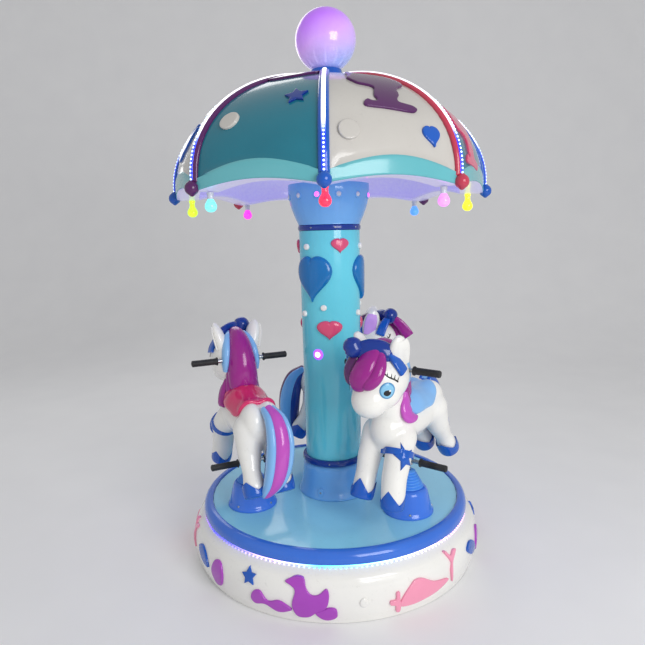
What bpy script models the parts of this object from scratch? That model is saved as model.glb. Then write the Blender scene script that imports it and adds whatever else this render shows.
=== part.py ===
# Small umbrella carousel with three ponies.
# Metres, +Z up. The origin is on the floor, on the axis that the platform turns about.
import math

import bmesh
import bpy
from mathutils import Matrix, Vector

GAP = 0.0003            # between pieces that touch

# Base: a moulded housing that stands on the floor
FOOT_RADIUS = 0.648
BASE_RADIUS = 0.669
BASE_WIDEST_Z = 0.104
BASE_TOP_Z = 0.212
BASE_TOP_RADIUS = 0.614
LED_RING_RADIUS = 0.607
LED_RING_WIDTH = 0.008
LED_RING_HEIGHT = 0.0045

# Platform: the deck and its rounded rim, which turn
DECK_TOP_Z = 0.264
DECK_BOTTOM_Z = 0.236
DECK_RADIUS = 0.580
RIM_RADIUS = 0.623
RIM_BOTTOM_Z = 0.222
BEARING_RADIUS = 0.200

# Column, from the deck up
FOOT_BOTTOM_RADIUS = 0.168
FOOT_TOP_RADIUS = 0.144
FOOT_BAND_Z = 0.4195
SHAFT_Z = 0.447
SHAFT_BOTTOM_RADIUS = 0.131
SHAFT_TOP_RADIUS = 0.139
TOP_BAND_Z = 1.496
CAPITAL_Z = 1.522
CAPITAL_TOP_Z = 1.700
CAPITAL_RADIUS = 0.186
BAND_PROUD = 0.004
HEARTS = 3
FIRST_HEART_ANGLE = math.radians(-124)
HEART_Z = 1.281
HEART_LOBE_TURN = math.radians(17)      # each lobe's place beside the heart's middle
HEART_LOBE_TILT = math.radians(28)
HEART_LOBE_SIZE = (0.034, 0.060, 0.099)
HEART_DEPTH = 0.122         # radius of the lobes' centres
MAST_RADIUS = 0.060
HUB_RADIUS = 0.130
HUB_THICKNESS = 0.018
HUB_SEAT_GAP = 0.0005
CROWN_SLOPE = 0.090         # fall of the crown's inner face for each metre outwards

# Canopy: eight panels between ribs, on a quarter of an ellipse from the crown to the hem
RIBS = 8
FRONT_RIB_ANGLE = math.radians(-90)
CANOPY_RADIUS = 0.690
CANOPY_SPRING_Z = 1.700     # height where the side wall stands upright
CANOPY_RISE = 0.450
CANOPY_WALL = 0.010
PANEL_MID = 0.955           # radius between two ribs, against the radius on a rib
HEM_Z = 1.645               # underside of the lip at a rib
HEM_ARCH = 0.030            # how far the hem rises between two ribs
LIP_RADIUS = 0.590
RIB_HALF_WIDTH = 0.020
RIB_HEIGHT = 0.010
RIB_START = 0.03            # where a rib starts and ends, as the side curve counts
RIB_END = 1.40
RIB_EDGE_DROP = 0.0043
BOSS_RADIUS = 0.027
BOSS_CENTRE = (0.703, 1.656)
CROWN_RADIUS = 0.075
CROWN_HEIGHT = 0.040
BULB_CIRCLE = 0.624
BULB_DROP = 0.074
GLOBE_RADIUS = 0.1325
GLOBE_Z = 2.314

# Ponies: places in the pony's own frame, +X ahead, +Y away from the column, Z over the deck
PONIES = 3
PONY_CIRCLE = 0.409
PONY_LIFTS = (0.030, 0.0, 0.0)              # where each crank stands at rest
PONY_LEANS = (math.radians(8), 0.0, 0.0)    # each moulding's lean on its post, nose down
PONY_TURNS = (0.0, math.radians(3), math.radians(3))    # each heading's turn away from the column
FIRST_PONY_ANGLE = math.radians(323.7)
MOUNT_RADIUS = 0.112
MOUNT_TOP_RADIUS = 0.084
MOUNT_HEIGHT = 0.112
BELLOWS_HEIGHT = 0.044
BELLOWS_BOTTOM_RADIUS = 0.070
BELLOWS_TOP_RADIUS = 0.030
BELLOWS_RINGS = 6
BELLOWS_FOLD = 0.005
POST_RADIUS = 0.011
POST_BORE_RADIUS = 0.0117
POST_BOTTOM = -0.005        # the post's foot slides in the bore of its mount and the deck
POST_TOP = 0.345
HANDLEBAR_PLACE = (0.100, 0.0, 0.657)
FOOTREST_PLACE = (0.0, 0.0, 0.200)
GRIP_RADIUS = 0.0155
BAR_RADIUS = 0.009
GRIP_INNER = 0.108
GRIP_OUTER = 0.226
PEG_INNER = 0.060
PEG_OUTER = 0.186

BODY_VOXEL = 0.011
BODY_TRIANGLE_SHARE = 0.050

parts = bpy.data.collections.new("carousel")
cutters = bpy.data.collections.new("cutters")


# Materials

def srgb(text):
    channels = [int(text[i:i + 2], 16) / 255 for i in (0, 2, 4)]
    return [c / 12.92 if c <= 0.04045 else ((c + 0.055) / 1.055) ** 2.4 for c in channels]


def finish(name, colour, roughness, metallic=0.0):
    material = bpy.data.materials.new(name)
    material.use_nodes = True
    shader = material.node_tree.nodes["Principled BSDF"]
    shader.inputs["Base Color"].default_value = (*srgb(colour), 1.0)
    shader.inputs["Roughness"].default_value = roughness
    shader.inputs["Metallic"].default_value = metallic
    material.diffuse_color = (*srgb(colour), 1.0)
    return material


WHITE = finish("white_gelcoat", "f2f2f0", 0.15)
AQUA = finish("aqua_gelcoat", "57bcd0", 0.15)
DECK_AQUA = finish("deck_gelcoat", "8fd0e6", 0.25)
BLUE = finish("blue_gelcoat", "3a5fd0", 0.2)
SKY = finish("sky_gelcoat", "5d9ddf", 0.2)
NAVY = finish("navy_gelcoat", "28348f", 0.2)
STEEL = finish("galvanised_steel", "b4b7ba", 0.35, 1.0)
RUBBER = finish("black_rubber", "1d1d1f", 0.6)
BELLOWS_BLUE = finish("bellows_rubber", "2f6fd6", 0.5)
LENS = finish("lamp_plastic", "d9a4f5", 0.25)
LED = finish("led_strip", "bcd8ff", 0.3)


# Small helpers

def new_object(name, data, material, collection=parts):
    thing = bpy.data.objects.new(name, data)
    collection.objects.link(thing)
    if material:
        data.materials.append(material)
    return thing


def profile_mesh(name, points, closed):
    """A line of (radius, height) points in the XZ plane."""
    mesh = bpy.data.meshes.new(name)
    edges = [(i, i + 1) for i in range(len(points) - 1)]
    if closed:
        edges.append((len(points) - 1, 0))
    mesh.from_pydata([(r, 0.0, z) for r, z in points], edges, [])
    return mesh


def turned(name, points, material, steps=32, closed=False, collection=parts):
    """A turned solid. The points run down the outer side, and back up the bore if closed."""
    thing = new_object(name, profile_mesh(name, points, closed), material, collection)
    screw = thing.modifiers.new("turn", "SCREW")
    screw.steps = steps
    screw.render_steps = steps
    screw.use_merge_vertices = True
    screw.merge_threshold = 0.00005
    screw.use_smooth_shade = True
    return thing


def cut(thing, cutter, operation="DIFFERENCE", solver="EXACT"):
    tool = thing.modifiers.new(operation.lower(), "BOOLEAN")
    tool.operation = operation
    tool.object = cutter
    tool.solver = solver


def as_cutter(thing):
    thing.hide_render = True
    thing.display_type = "WIRE"
    return thing


def primitive(name, build, material=None, collection=cutters):
    """An object whose mesh is filled by build(bm)."""
    mesh = bpy.data.meshes.new(name)
    bm = bmesh.new()
    build(bm)
    bm.to_mesh(mesh)
    bm.free()
    return new_object(name, mesh, material, collection)


def rod(name, radius, start, end, sides=16):
    """A plain round bar between two points, as a cutter."""
    start, end = Vector(start), Vector(end)
    axis = end - start

    def build(bm):
        bmesh.ops.create_cone(bm, cap_ends=True, segments=sides, radius1=radius,
                              radius2=radius, depth=axis.length)
    bar = primitive(name, build)
    bar.rotation_mode = "QUATERNION"
    bar.rotation_quaternion = Vector((0, 0, 1)).rotation_difference(axis)
    bar.location = (start + end) / 2
    return as_cutter(bar)


def pony_angle(index):
    return FIRST_PONY_ANGLE - index * 2 * math.pi / PONIES


def pony_place(index):
    angle = pony_angle(index)
    return PONY_CIRCLE * math.cos(angle), PONY_CIRCLE * math.sin(angle)


# Base

def make_base():
    shoulder_z = BASE_TOP_Z - 0.010
    profile = [
        (0.0, BASE_TOP_Z),
        (BASE_TOP_RADIUS, BASE_TOP_Z),
        (BASE_TOP_RADIUS + 0.012, shoulder_z),
        (BASE_RADIUS - 0.019, 0.183),
        (BASE_RADIUS - 0.006, 0.150),
        (BASE_RADIUS, BASE_WIDEST_Z),
        (BASE_RADIUS - 0.005, 0.050),
        (FOOT_RADIUS + 0.004, 0.012),
        (FOOT_RADIUS, 0.0),
        (0.0, 0.0),
    ]
    turned("base_housing", profile, WHITE, steps=44)
    low = BASE_TOP_Z + GAP
    high = low + LED_RING_HEIGHT
    half = LED_RING_WIDTH / 2
    ring = [
        (LED_RING_RADIUS + half, high),
        (LED_RING_RADIUS + half, low),
        (LED_RING_RADIUS - half, low),
        (LED_RING_RADIUS - half, high),
    ]
    turned("base_led_strip", ring, LED, steps=36, closed=True)
    bearing_top = DECK_BOTTOM_Z - GAP
    bearing = [
        (0.0, bearing_top),
        (BEARING_RADIUS, bearing_top),
        (BEARING_RADIUS, BASE_TOP_Z + GAP),
        (0.0, BASE_TOP_Z + GAP),
    ]
    turned("turntable_bearing", bearing, STEEL, steps=32)


# Platform

def make_platform():
    deck = [
        (0.0, DECK_TOP_Z),
        (DECK_RADIUS - GAP, DECK_TOP_Z),
        (DECK_RADIUS - GAP, DECK_BOTTOM_Z),
        (0.0, DECK_BOTTOM_Z),
    ]
    floor = turned("platform_deck", deck, DECK_AQUA, steps=44)
    for i in range(PONIES):
        x, y = pony_place(i)
        cut(floor, rod(f"post_way_{i + 1}", POST_BORE_RADIUS, (x, y, DECK_BOTTOM_Z - 0.01),
                       (x, y, DECK_TOP_Z + 0.01)))
    rim = [
        (DECK_RADIUS, DECK_TOP_Z + 0.004),
        (DECK_RADIUS + 0.010, DECK_TOP_Z + 0.010),
        (RIM_RADIUS - 0.014, DECK_TOP_Z + 0.004),
        (RIM_RADIUS - 0.002, DECK_TOP_Z - 0.018),
        (RIM_RADIUS, RIM_BOTTOM_Z + 0.004),
        (RIM_RADIUS - 0.004, RIM_BOTTOM_Z),
        (DECK_RADIUS, RIM_BOTTOM_Z),
    ]
    turned("platform_rim", rim, BLUE, steps=44, closed=True)


# Column

def heart_lobe(number, heart_angle, side):
    """One of the two leaning lobes of a heart in relief, which follow the round of the shaft."""
    def lobe(bm):
        turn = Matrix.Rotation(heart_angle + side * HEART_LOBE_TURN, 4, "Z")
        place = Matrix.Translation((HEART_DEPTH, 0, HEART_Z))
        tilt = Matrix.Rotation(-side * HEART_LOBE_TILT, 4, "X")
        size = Matrix.Diagonal((*HEART_LOBE_SIZE, 1.0))
        bmesh.ops.create_icosphere(bm, subdivisions=3, radius=1.0, matrix=turn @ place @ tilt @ size)
    return as_cutter(primitive(f"heart_lobe_{number}", lobe))


def make_column():
    foot = [
        (0.0, FOOT_BAND_Z - GAP),
        (FOOT_TOP_RADIUS, FOOT_BAND_Z - GAP),
        (FOOT_TOP_RADIUS + 0.004, DECK_TOP_Z + 0.100),
        (FOOT_TOP_RADIUS + 0.012, DECK_TOP_Z + 0.045),
        (FOOT_BOTTOM_RADIUS, DECK_TOP_Z + 0.008),
        (FOOT_BOTTOM_RADIUS, DECK_TOP_Z + GAP),
        (0.0, DECK_TOP_Z + GAP),
    ]
    turned("column_foot", foot, SKY)
    foot_band = [
        (0.0, SHAFT_Z - GAP),
        (FOOT_TOP_RADIUS, SHAFT_Z - GAP),
        (FOOT_TOP_RADIUS + BAND_PROUD, SHAFT_Z - 0.006),
        (FOOT_TOP_RADIUS + BAND_PROUD, FOOT_BAND_Z + 0.006),
        (FOOT_TOP_RADIUS, FOOT_BAND_Z),
        (0.0, FOOT_BAND_Z),
    ]
    turned("column_foot_band", foot_band, NAVY)
    shaft = [
        (0.0, TOP_BAND_Z - GAP),
        (SHAFT_TOP_RADIUS, TOP_BAND_Z - GAP),
        (SHAFT_BOTTOM_RADIUS, SHAFT_Z),
        (0.0, SHAFT_Z),
    ]
    trunk = turned("column_shaft", shaft, AQUA)
    for i in range(HEARTS):
        heart_angle = FIRST_HEART_ANGLE + i * 2 * math.pi / HEARTS
        cut(trunk, heart_lobe(2 * i + 1, heart_angle, 1), "UNION", "MANIFOLD")
        cut(trunk, heart_lobe(2 * i + 2, heart_angle, -1), "UNION", "MANIFOLD")
    top_band = [
        (0.0, CAPITAL_Z - GAP),
        (SHAFT_TOP_RADIUS, CAPITAL_Z - GAP),
        (SHAFT_TOP_RADIUS + BAND_PROUD, CAPITAL_Z - 0.006),
        (SHAFT_TOP_RADIUS + BAND_PROUD, TOP_BAND_Z + 0.006),
        (SHAFT_TOP_RADIUS, TOP_BAND_Z),
        (0.0, TOP_BAND_Z),
    ]
    turned("column_top_band", top_band, NAVY)
    capital = [
        (0.0, CAPITAL_TOP_Z),
        (CAPITAL_RADIUS, CAPITAL_TOP_Z),
        (CAPITAL_RADIUS, CAPITAL_TOP_Z - 0.030),
        (CAPITAL_RADIUS - 0.010, CAPITAL_Z + 0.090),
        (CAPITAL_RADIUS - 0.028, CAPITAL_Z + 0.040),
        (SHAFT_TOP_RADIUS + 0.002, CAPITAL_Z),
        (0.0, CAPITAL_Z),
    ]
    turned("column_capital", capital, SKY, steps=24)
    crown_inside = CANOPY_SPRING_Z + CANOPY_RISE - CANOPY_WALL
    hub_top = crown_inside - HUB_SEAT_GAP
    hub_bottom = hub_top - HUB_THICKNESS
    hub = [
        (0.0, hub_top),
        (HUB_RADIUS, hub_top - HUB_RADIUS * CROWN_SLOPE),
        (HUB_RADIUS, hub_bottom),
        (0.0, hub_bottom),
    ]
    turned("canopy_hub", hub, STEEL)
    mast = [
        (0.0, hub_bottom - GAP),
        (MAST_RADIUS, hub_bottom - GAP),
        (MAST_RADIUS, CAPITAL_TOP_Z + GAP),
        (0.0, CAPITAL_TOP_Z + GAP),
    ]
    turned("column_mast", mast, STEEL, steps=20)


# Canopy

def meridian(t, offset=0.0):
    """Radius and height on a rib line: t is 0 at the crown, 1 where the wall stands upright."""
    angle = t * math.pi / 2
    radius = (CANOPY_RADIUS + offset) * math.sin(angle)
    height = CANOPY_SPRING_Z + (CANOPY_RISE + offset) * math.cos(angle)
    return radius, height


def canopy_point(t, share, offset=0.0):
    """A point of the canopy in the frame of one panel, which spans share 0 to 1.

    t runs from the crown (0) to the spring line (1), the hem (1 to 2) and the lip (2 to 3).
    """
    bulge = math.sin(math.pi * share)
    squeeze = 1 - (1 - PANEL_MID) * bulge
    hem = HEM_Z + HEM_ARCH * bulge
    if t <= 1:
        radius, height = meridian(t, offset)
    elif t <= 2:
        radius = CANOPY_RADIUS + offset
        height = CANOPY_SPRING_Z + (t - 1) * (hem - offset - CANOPY_SPRING_Z)
    else:
        radius = CANOPY_RADIUS + offset + (t - 2) * (LIP_RADIUS - CANOPY_RADIUS - offset)
        height = hem - offset
    angle = (share - 0.5) * 2 * math.pi / RIBS
    radius *= squeeze
    return Vector((radius * math.cos(angle), radius * math.sin(angle), height))


def canopy_skin(bm, offset, rows, columns):
    """The open outer surface of the whole canopy, from a grid bent into its form."""
    across = columns * RIBS
    bmesh.ops.create_grid(bm, x_segments=across, y_segments=len(rows) - 1, size=0.5)
    for vert in bm.verts:
        column = round((vert.co.x + 0.5) * across)
        row = round((vert.co.y + 0.5) * (len(rows) - 1))
        panel, step = divmod(column, columns)
        place = canopy_point(rows[row], step / columns, offset)
        turn = FRONT_RIB_ANGLE + (panel + 0.5) * 2 * math.pi / RIBS
        vert.co = Matrix.Rotation(turn, 3, "Z") @ place
    bmesh.ops.remove_doubles(bm, verts=bm.verts, dist=0.00005)
    bmesh.ops.recalc_face_normals(bm, faces=bm.faces)
    top = max(bm.faces, key=lambda face: face.calc_center_median().z)
    if top.normal.z < 0:
        bmesh.ops.reverse_faces(bm, faces=bm.faces)


SHELL_ROWS = (0.0, 0.16, 0.30, 0.44, 0.57, 0.70, 0.84, 1.0, 2.0, 3.0)
SHELL_COLUMNS = 4


def make_canopy_shell():
    shell = primitive("canopy_shell", lambda bm: canopy_skin(bm, 0.0, SHELL_ROWS, SHELL_COLUMNS),
                      AQUA, parts)
    wall = shell.modifiers.new("wall", "SOLIDIFY")
    wall.thickness = CANOPY_WALL
    wall.offset = -1
    wall.use_even_offset = True
    wall.use_quality_normals = True


def filled_canopy(bm):
    """The space that the canopy takes, as one closed solid, a little larger than its skin."""
    canopy_skin(bm, GAP, SHELL_ROWS, SHELL_COLUMNS)
    edge = [e for e in bm.edges if e.is_boundary]
    bmesh.ops.holes_fill(bm, edges=edge, sides=0)
    bmesh.ops.triangulate(bm, faces=[f for f in bm.faces if len(f.verts) > 4])


def rib_bar(bm, turn):
    """One rib: a bar bent along the rib line. Its foot is a shallow V that sits on the ridge."""
    rows = [RIB_START] + [t for t in SHELL_ROWS if 0 < t <= 1] + [RIB_END]
    made = bmesh.ops.create_grid(bm, x_segments=len(rows) - 1, y_segments=2, size=0.5)["verts"]
    faces = {face for vert in made for face in vert.link_faces}
    above = bmesh.ops.extrude_face_region(bm, geom=list(faces))["geom"]
    above = [item for item in above if isinstance(item, bmesh.types.BMVert)]
    spin = Matrix.Rotation(turn, 3, "Z")
    for verts, height, share, drop in ((made, 2 * GAP, 1.0, RIB_EDGE_DROP), (above, RIB_HEIGHT, 0.7, 0.0)):
        for vert in verts:
            t = rows[round((vert.co.x + 0.5) * (len(rows) - 1))]
            across = vert.co.y * 2
            radius, level = meridian(min(t, 1.0), height)
            level -= max(0.0, t - 1.0) * (CANOPY_SPRING_Z - HEM_Z)
            radius -= abs(across) * drop
            vert.co = spin @ Vector((radius, across * RIB_HALF_WIDTH * share, level))


def make_canopy_frame():
    turns = [FRONT_RIB_ANGLE + i * 2 * math.pi / RIBS for i in range(RIBS)]
    crown_z = meridian(0.0)[1]

    def crown(bm):
        bmesh.ops.create_cone(bm, cap_ends=True, segments=16, radius1=CROWN_RADIUS,
                              radius2=CROWN_RADIUS - 0.006, depth=CROWN_HEIGHT + 0.020,
                              matrix=Matrix.Translation((0, 0, crown_z + (CROWN_HEIGHT - 0.020) / 2)))
    frame = primitive("canopy_ribs", crown, BLUE, parts)
    for i, turn in enumerate(turns):
        rib = primitive(f"rib_{i + 1}_form", lambda bm: rib_bar(bm, turn))
        bmesh_recalc(rib)
        cut(frame, as_cutter(rib), "UNION")

        def ball(bm):
            place = (BOSS_CENTRE[0] * math.cos(turn), BOSS_CENTRE[0] * math.sin(turn), BOSS_CENTRE[1])
            bmesh.ops.create_icosphere(bm, subdivisions=2, radius=BOSS_RADIUS,
                                       matrix=Matrix.Translation(place))
        boss = primitive(f"boss_{i + 1}_form", ball)
        cut(frame, as_cutter(boss), "UNION")
    space = primitive("canopy_space", filled_canopy)
    bmesh_recalc(space)
    cut(frame, as_cutter(space))


def bmesh_recalc(thing):
    bm = bmesh.new()
    bm.from_mesh(thing.data)
    bmesh.ops.recalc_face_normals(bm, faces=bm.faces)
    bm.to_mesh(thing.data)
    bm.free()


def make_bulbs():
    top = HEM_Z - GAP
    socket_bottom = top - 0.024
    profile = [
        (0.0, top),
        (0.0125, top),
        (0.0125, socket_bottom),
        (0.0190, socket_bottom - 0.012),
        (0.0230, socket_bottom - 0.026),
        (0.0190, top - BULB_DROP + 0.009),
        (0.0090, top - BULB_DROP + 0.001),
        (0.0, top - BULB_DROP),
    ]
    for i in range(RIBS):
        turn = FRONT_RIB_ANGLE + i * 2 * math.pi / RIBS
        bulb = turned(f"canopy_bulb_{i + 1}", profile, LENS, steps=10)
        bulb.location = (BULB_CIRCLE * math.cos(turn), BULB_CIRCLE * math.sin(turn), 0)


def make_globe():
    seat = meridian(0.0)[1] + CROWN_HEIGHT + GAP
    low = math.asin((seat - GLOBE_Z) / GLOBE_RADIUS)
    steps = 10
    profile = [(0.0, GLOBE_Z + GLOBE_RADIUS)]
    for i in range(1, steps + 1):
        angle = math.pi / 2 + (low - math.pi / 2) * i / steps
        profile.append((GLOBE_RADIUS * math.cos(angle), GLOBE_Z + GLOBE_RADIUS * math.sin(angle)))
    profile.append((0.0, seat))
    turned("globe_lamp", profile, LENS, steps=20)


# Pony: one hollow moulding in life, with its mane, tail and ribbon

def capsule_chain(bm, points):
    """A rounded limb through (x, y, z, radius) points: cones between balls."""
    for (x, y, z, radius) in points:
        bmesh.ops.create_icosphere(bm, subdivisions=2, radius=radius,
                                   matrix=Matrix.Translation((x, y, z)))
    for first, second in zip(points, points[1:]):
        a, b = Vector(first[:3]), Vector(second[:3])
        turn = Vector((0, 0, 1)).rotation_difference(b - a).to_matrix().to_4x4()
        bmesh.ops.create_cone(bm, cap_ends=True, segments=16, radius1=first[3], radius2=second[3],
                              depth=(b - a).length, matrix=Matrix.Translation((a + b) / 2) @ turn)


def ellipsoid(bm, centre, radii, tilt=(0.0, 0.0, 0.0)):
    size = Matrix.Diagonal((*radii, 1.0))
    turn = Matrix.Rotation(tilt[2], 4, "Z") @ Matrix.Rotation(tilt[1], 4, "Y")
    turn = turn @ Matrix.Rotation(tilt[0], 4, "X")
    bmesh.ops.create_icosphere(bm, subdivisions=3, radius=1.0,
                               matrix=Matrix.Translation(centre) @ turn @ size)


BARREL = ((-0.140, 0.0, 0.412, 0.090), (-0.030, 0.0, 0.398, 0.092), (0.125, 0.0, 0.415, 0.098))
NECK = ((0.125, 0.0, 0.455, 0.088), (0.140, 0.0, 0.540, 0.074), (0.165, 0.0, 0.610, 0.080))
SKULL = ((0.180, 0.0, 0.650), (0.130, 0.119, 0.112))
MUZZLE = ((0.262, 0.0, 0.584), (0.080, 0.078, 0.072))
EAR = ((0.160, 0.074, 0.738, 0.037), (0.170, 0.088, 0.780, 0.033), (0.178, 0.096, 0.809, 0.017))
FRONT_OUTER_LEG = ((0.140, 0.050, 0.375, 0.066), (0.204, 0.070, 0.325, 0.055),
                   (0.238, 0.063, 0.240, 0.051), (0.264, 0.066, 0.168, 0.048))
FRONT_INNER_LEG = ((0.148, -0.055, 0.380, 0.068), (0.200, -0.072, 0.300, 0.051),
                   (0.235, -0.072, 0.235, 0.045), (0.268, -0.072, 0.182, 0.045))
HIND_LEG = ((-0.138, 0.042, 0.398, 0.074), (-0.162, 0.056, 0.310, 0.053),
            (-0.200, 0.061, 0.235, 0.037), (-0.230, 0.062, 0.182, 0.038))
HOOF_LENGTH = 0.060
HOOF_TOP_RADIUS = 0.049
HOOF_SOLE_RADIUS = 0.049
MANE = ((0.165, 0.0, 0.755, 0.045), (0.102, 0.0, 0.715, 0.064), (0.086, 0.0, 0.640, 0.074),
        (0.074, 0.0, 0.565, 0.072), (0.062, 0.0, 0.510, 0.054))
TAIL = ((-0.212, -0.018, 0.487, 0.035), (-0.256, -0.034, 0.440, 0.050), (-0.281, -0.038, 0.370, 0.060),
        (-0.290, -0.026, 0.285, 0.060), (-0.291, -0.006, 0.215, 0.050), (-0.279, 0.022, 0.160, 0.030),
        (-0.272, 0.036, 0.138, 0.014))
FRINGE = ((0.238, -0.018, 0.690), (0.078, 0.092, 0.066))
RIBBON = ((0.262, -0.066, 0.794, 0.040), (0.225, 0.010, 0.768, 0.034), (0.190, 0.078, 0.735, 0.030),
          (0.155, 0.104, 0.680, 0.024))
SADDLE = ((-0.024, 0.0, 0.468), (0.118, 0.096, 0.084))


def hoof(bm, leg):
    """The hoof goes on in the line of the lower leg and ends on a flat sole."""
    upper, lower = Vector(leg[-2][:3]), Vector(leg[-1][:3])
    line = (lower - upper).normalized()
    turn = Vector((0, 0, 1)).rotation_difference(line).to_matrix().to_4x4()
    middle = lower + line * (HOOF_LENGTH / 2 - 0.012)
    bmesh.ops.create_cone(bm, cap_ends=True, segments=20, radius1=HOOF_TOP_RADIUS,
                          radius2=HOOF_SOLE_RADIUS, depth=HOOF_LENGTH,
                          matrix=Matrix.Translation(middle) @ turn)


def mirrored(chain):
    return tuple((x, -y, z, radius) for x, y, z, radius in chain)


def pony_volumes(bm):
    for chain in (BARREL, NECK, MANE, TAIL, RIBBON, EAR, mirrored(EAR)):
        capsule_chain(bm, chain)
    ellipsoid(bm, *SKULL)
    ellipsoid(bm, *MUZZLE, tilt=(0.0, math.radians(35), 0.0))
    ellipsoid(bm, *FRINGE)
    ellipsoid(bm, *SADDLE)
    for leg in (FRONT_OUTER_LEG, FRONT_INNER_LEG, HIND_LEG, mirrored(HIND_LEG)):
        capsule_chain(bm, leg)
        hoof(bm, leg)


def pony_mesh():
    mesh = bpy.data.meshes.new("pony_form")
    bm = bmesh.new()
    pony_volumes(bm)
    bm.to_mesh(mesh)
    bm.free()
    return mesh


def grip_bar(name, inner, outer, material, hub_radius=0.0):
    """A steel bar along Y with a rubber grip at each end, turned about its own axis."""
    half = [(0.0, outer), (GRIP_RADIUS, outer), (GRIP_RADIUS, inner), (BAR_RADIUS, inner)]
    if hub_radius:
        half += [(BAR_RADIUS, 0.022), (hub_radius, 0.020)]
    lower = [(radius, -z) for radius, z in reversed(half)]
    return turned(name, half + lower, material, steps=12)


def empty(name, parent=None):
    place = bpy.data.objects.new(name, None)
    parts.objects.link(place)
    place.parent = parent
    return place


def make_bellows(name, height):
    low = MOUNT_HEIGHT + GAP
    steps = 2 * BELLOWS_RINGS
    outer = []
    for i in range(steps + 1):
        share = 1 - i / steps
        radius = BELLOWS_BOTTOM_RADIUS + share * (BELLOWS_TOP_RADIUS - BELLOWS_BOTTOM_RADIUS)
        fold = BELLOWS_FOLD if i % 2 == 0 else 0.0
        outer.append((radius - fold, low + share * height))
    bore = [(POST_BORE_RADIUS, low), (POST_BORE_RADIUS, low + height)]
    return turned(name, outer + bore, BELLOWS_BLUE, steps=14, closed=True)


def make_pony(index, body_mesh):
    name = f"pony_{index + 1}"
    lift = PONY_LIFTS[index]
    place = empty(f"{name}_place")
    place.location = (*pony_place(index), DECK_TOP_Z)
    place.rotation_euler = (0, 0, pony_angle(index) + PONY_TURNS[index] - math.pi / 2)
    seat = empty(f"{name}_seat", place)
    seat.location = (0, 0, POST_TOP + lift)
    seat.rotation_euler = (0, PONY_LEANS[index], 0)

    mount = turned(f"{name}_mount", [
        (POST_BORE_RADIUS, MOUNT_HEIGHT),
        (MOUNT_TOP_RADIUS - 0.006, MOUNT_HEIGHT),
        (MOUNT_TOP_RADIUS, MOUNT_HEIGHT - 0.008),
        (MOUNT_RADIUS - 0.012, 0.010),
        (MOUNT_RADIUS, GAP),
        (POST_BORE_RADIUS, GAP),
    ], BLUE, steps=24, closed=True)
    bellows = make_bellows(f"{name}_bellows", BELLOWS_HEIGHT + lift)
    post = turned(f"{name}_post", [
        (0.0, POST_TOP + lift),
        (POST_RADIUS, POST_TOP + lift),
        (POST_RADIUS, POST_BOTTOM + lift),
        (0.0, POST_BOTTOM + lift),
    ], STEEL, steps=16)
    footrest = grip_bar(f"{name}_footrest", PEG_INNER, PEG_OUTER, RUBBER, hub_radius=0.020)
    footrest.location = Vector(FOOTREST_PLACE) + Vector((0, 0, lift))
    footrest.rotation_euler = (math.pi / 2, 0, 0)

    body = new_object(f"{name}_body", body_mesh, None)
    skin = body.modifiers.new("one_skin", "REMESH")
    skin.mode = "VOXEL"
    skin.voxel_size = BODY_VOXEL
    soften = body.modifiers.new("soften", "SMOOTH")
    soften.factor = 0.5
    soften.iterations = 6
    lighten = body.modifiers.new("lighten", "DECIMATE")
    lighten.ratio = BODY_TRIANGLE_SHARE
    body.location = (0, 0, -POST_TOP)
    handlebar = grip_bar(f"{name}_handlebar", GRIP_INNER, GRIP_OUTER, RUBBER)
    handlebar.location = Vector(HANDLEBAR_PLACE) - Vector((0, 0, POST_TOP))
    handlebar.rotation_euler = (math.pi / 2, 0, 0)

    bar_x, _, bar_z = handlebar.location
    bar_hole = rod(f"{name}_bar_hole", BAR_RADIUS + GAP, (bar_x, -GRIP_INNER, bar_z),
                   (bar_x, GRIP_INNER, bar_z))
    post_hole = rod(f"{name}_post_hole", POST_RADIUS + GAP, (0, 0, POST_BOTTOM),
                    (0, 0, POST_TOP + lift + GAP))
    cut(body, bar_hole)
    cut(body, post_hole)
    cut(footrest, post_hole)
    for piece in (mount, bellows, post, footrest, post_hole):
        piece.parent = place
    for piece in (body, handlebar, bar_hole):
        piece.parent = seat


def main():
    for old in list(bpy.data.objects):
        bpy.data.objects.remove(old, do_unlink=True)
    bpy.context.scene.collection.children.link(parts)
    bpy.context.scene.collection.children.link(cutters)
    make_base()
    make_platform()
    make_column()
    make_canopy_shell()
    make_canopy_frame()
    make_bulbs()
    make_globe()
    body_mesh = pony_mesh()
    body_mesh.materials.append(WHITE)
    for i in range(PONIES):
        make_pony(i, body_mesh)


main()
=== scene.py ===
# %% [markdown]
# A small umbrella carousel, dressed in Blender.
#
# The machine's working shapes are already fixed: a frame of solids that turn and slide on joints. This
# lesson puts the looks on that frame. Each step says what a piece is on the real ride, how it could be
# made, and why it is made the way it is. Lengths are in metres, +Z is up, and the ride's own axis is the
# line x = 0, y = 0.

# %% Load the frame
import math

import bmesh
import bpy
from mathutils import Matrix, Vector
from mathutils.bvhtree import BVHTree


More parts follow.
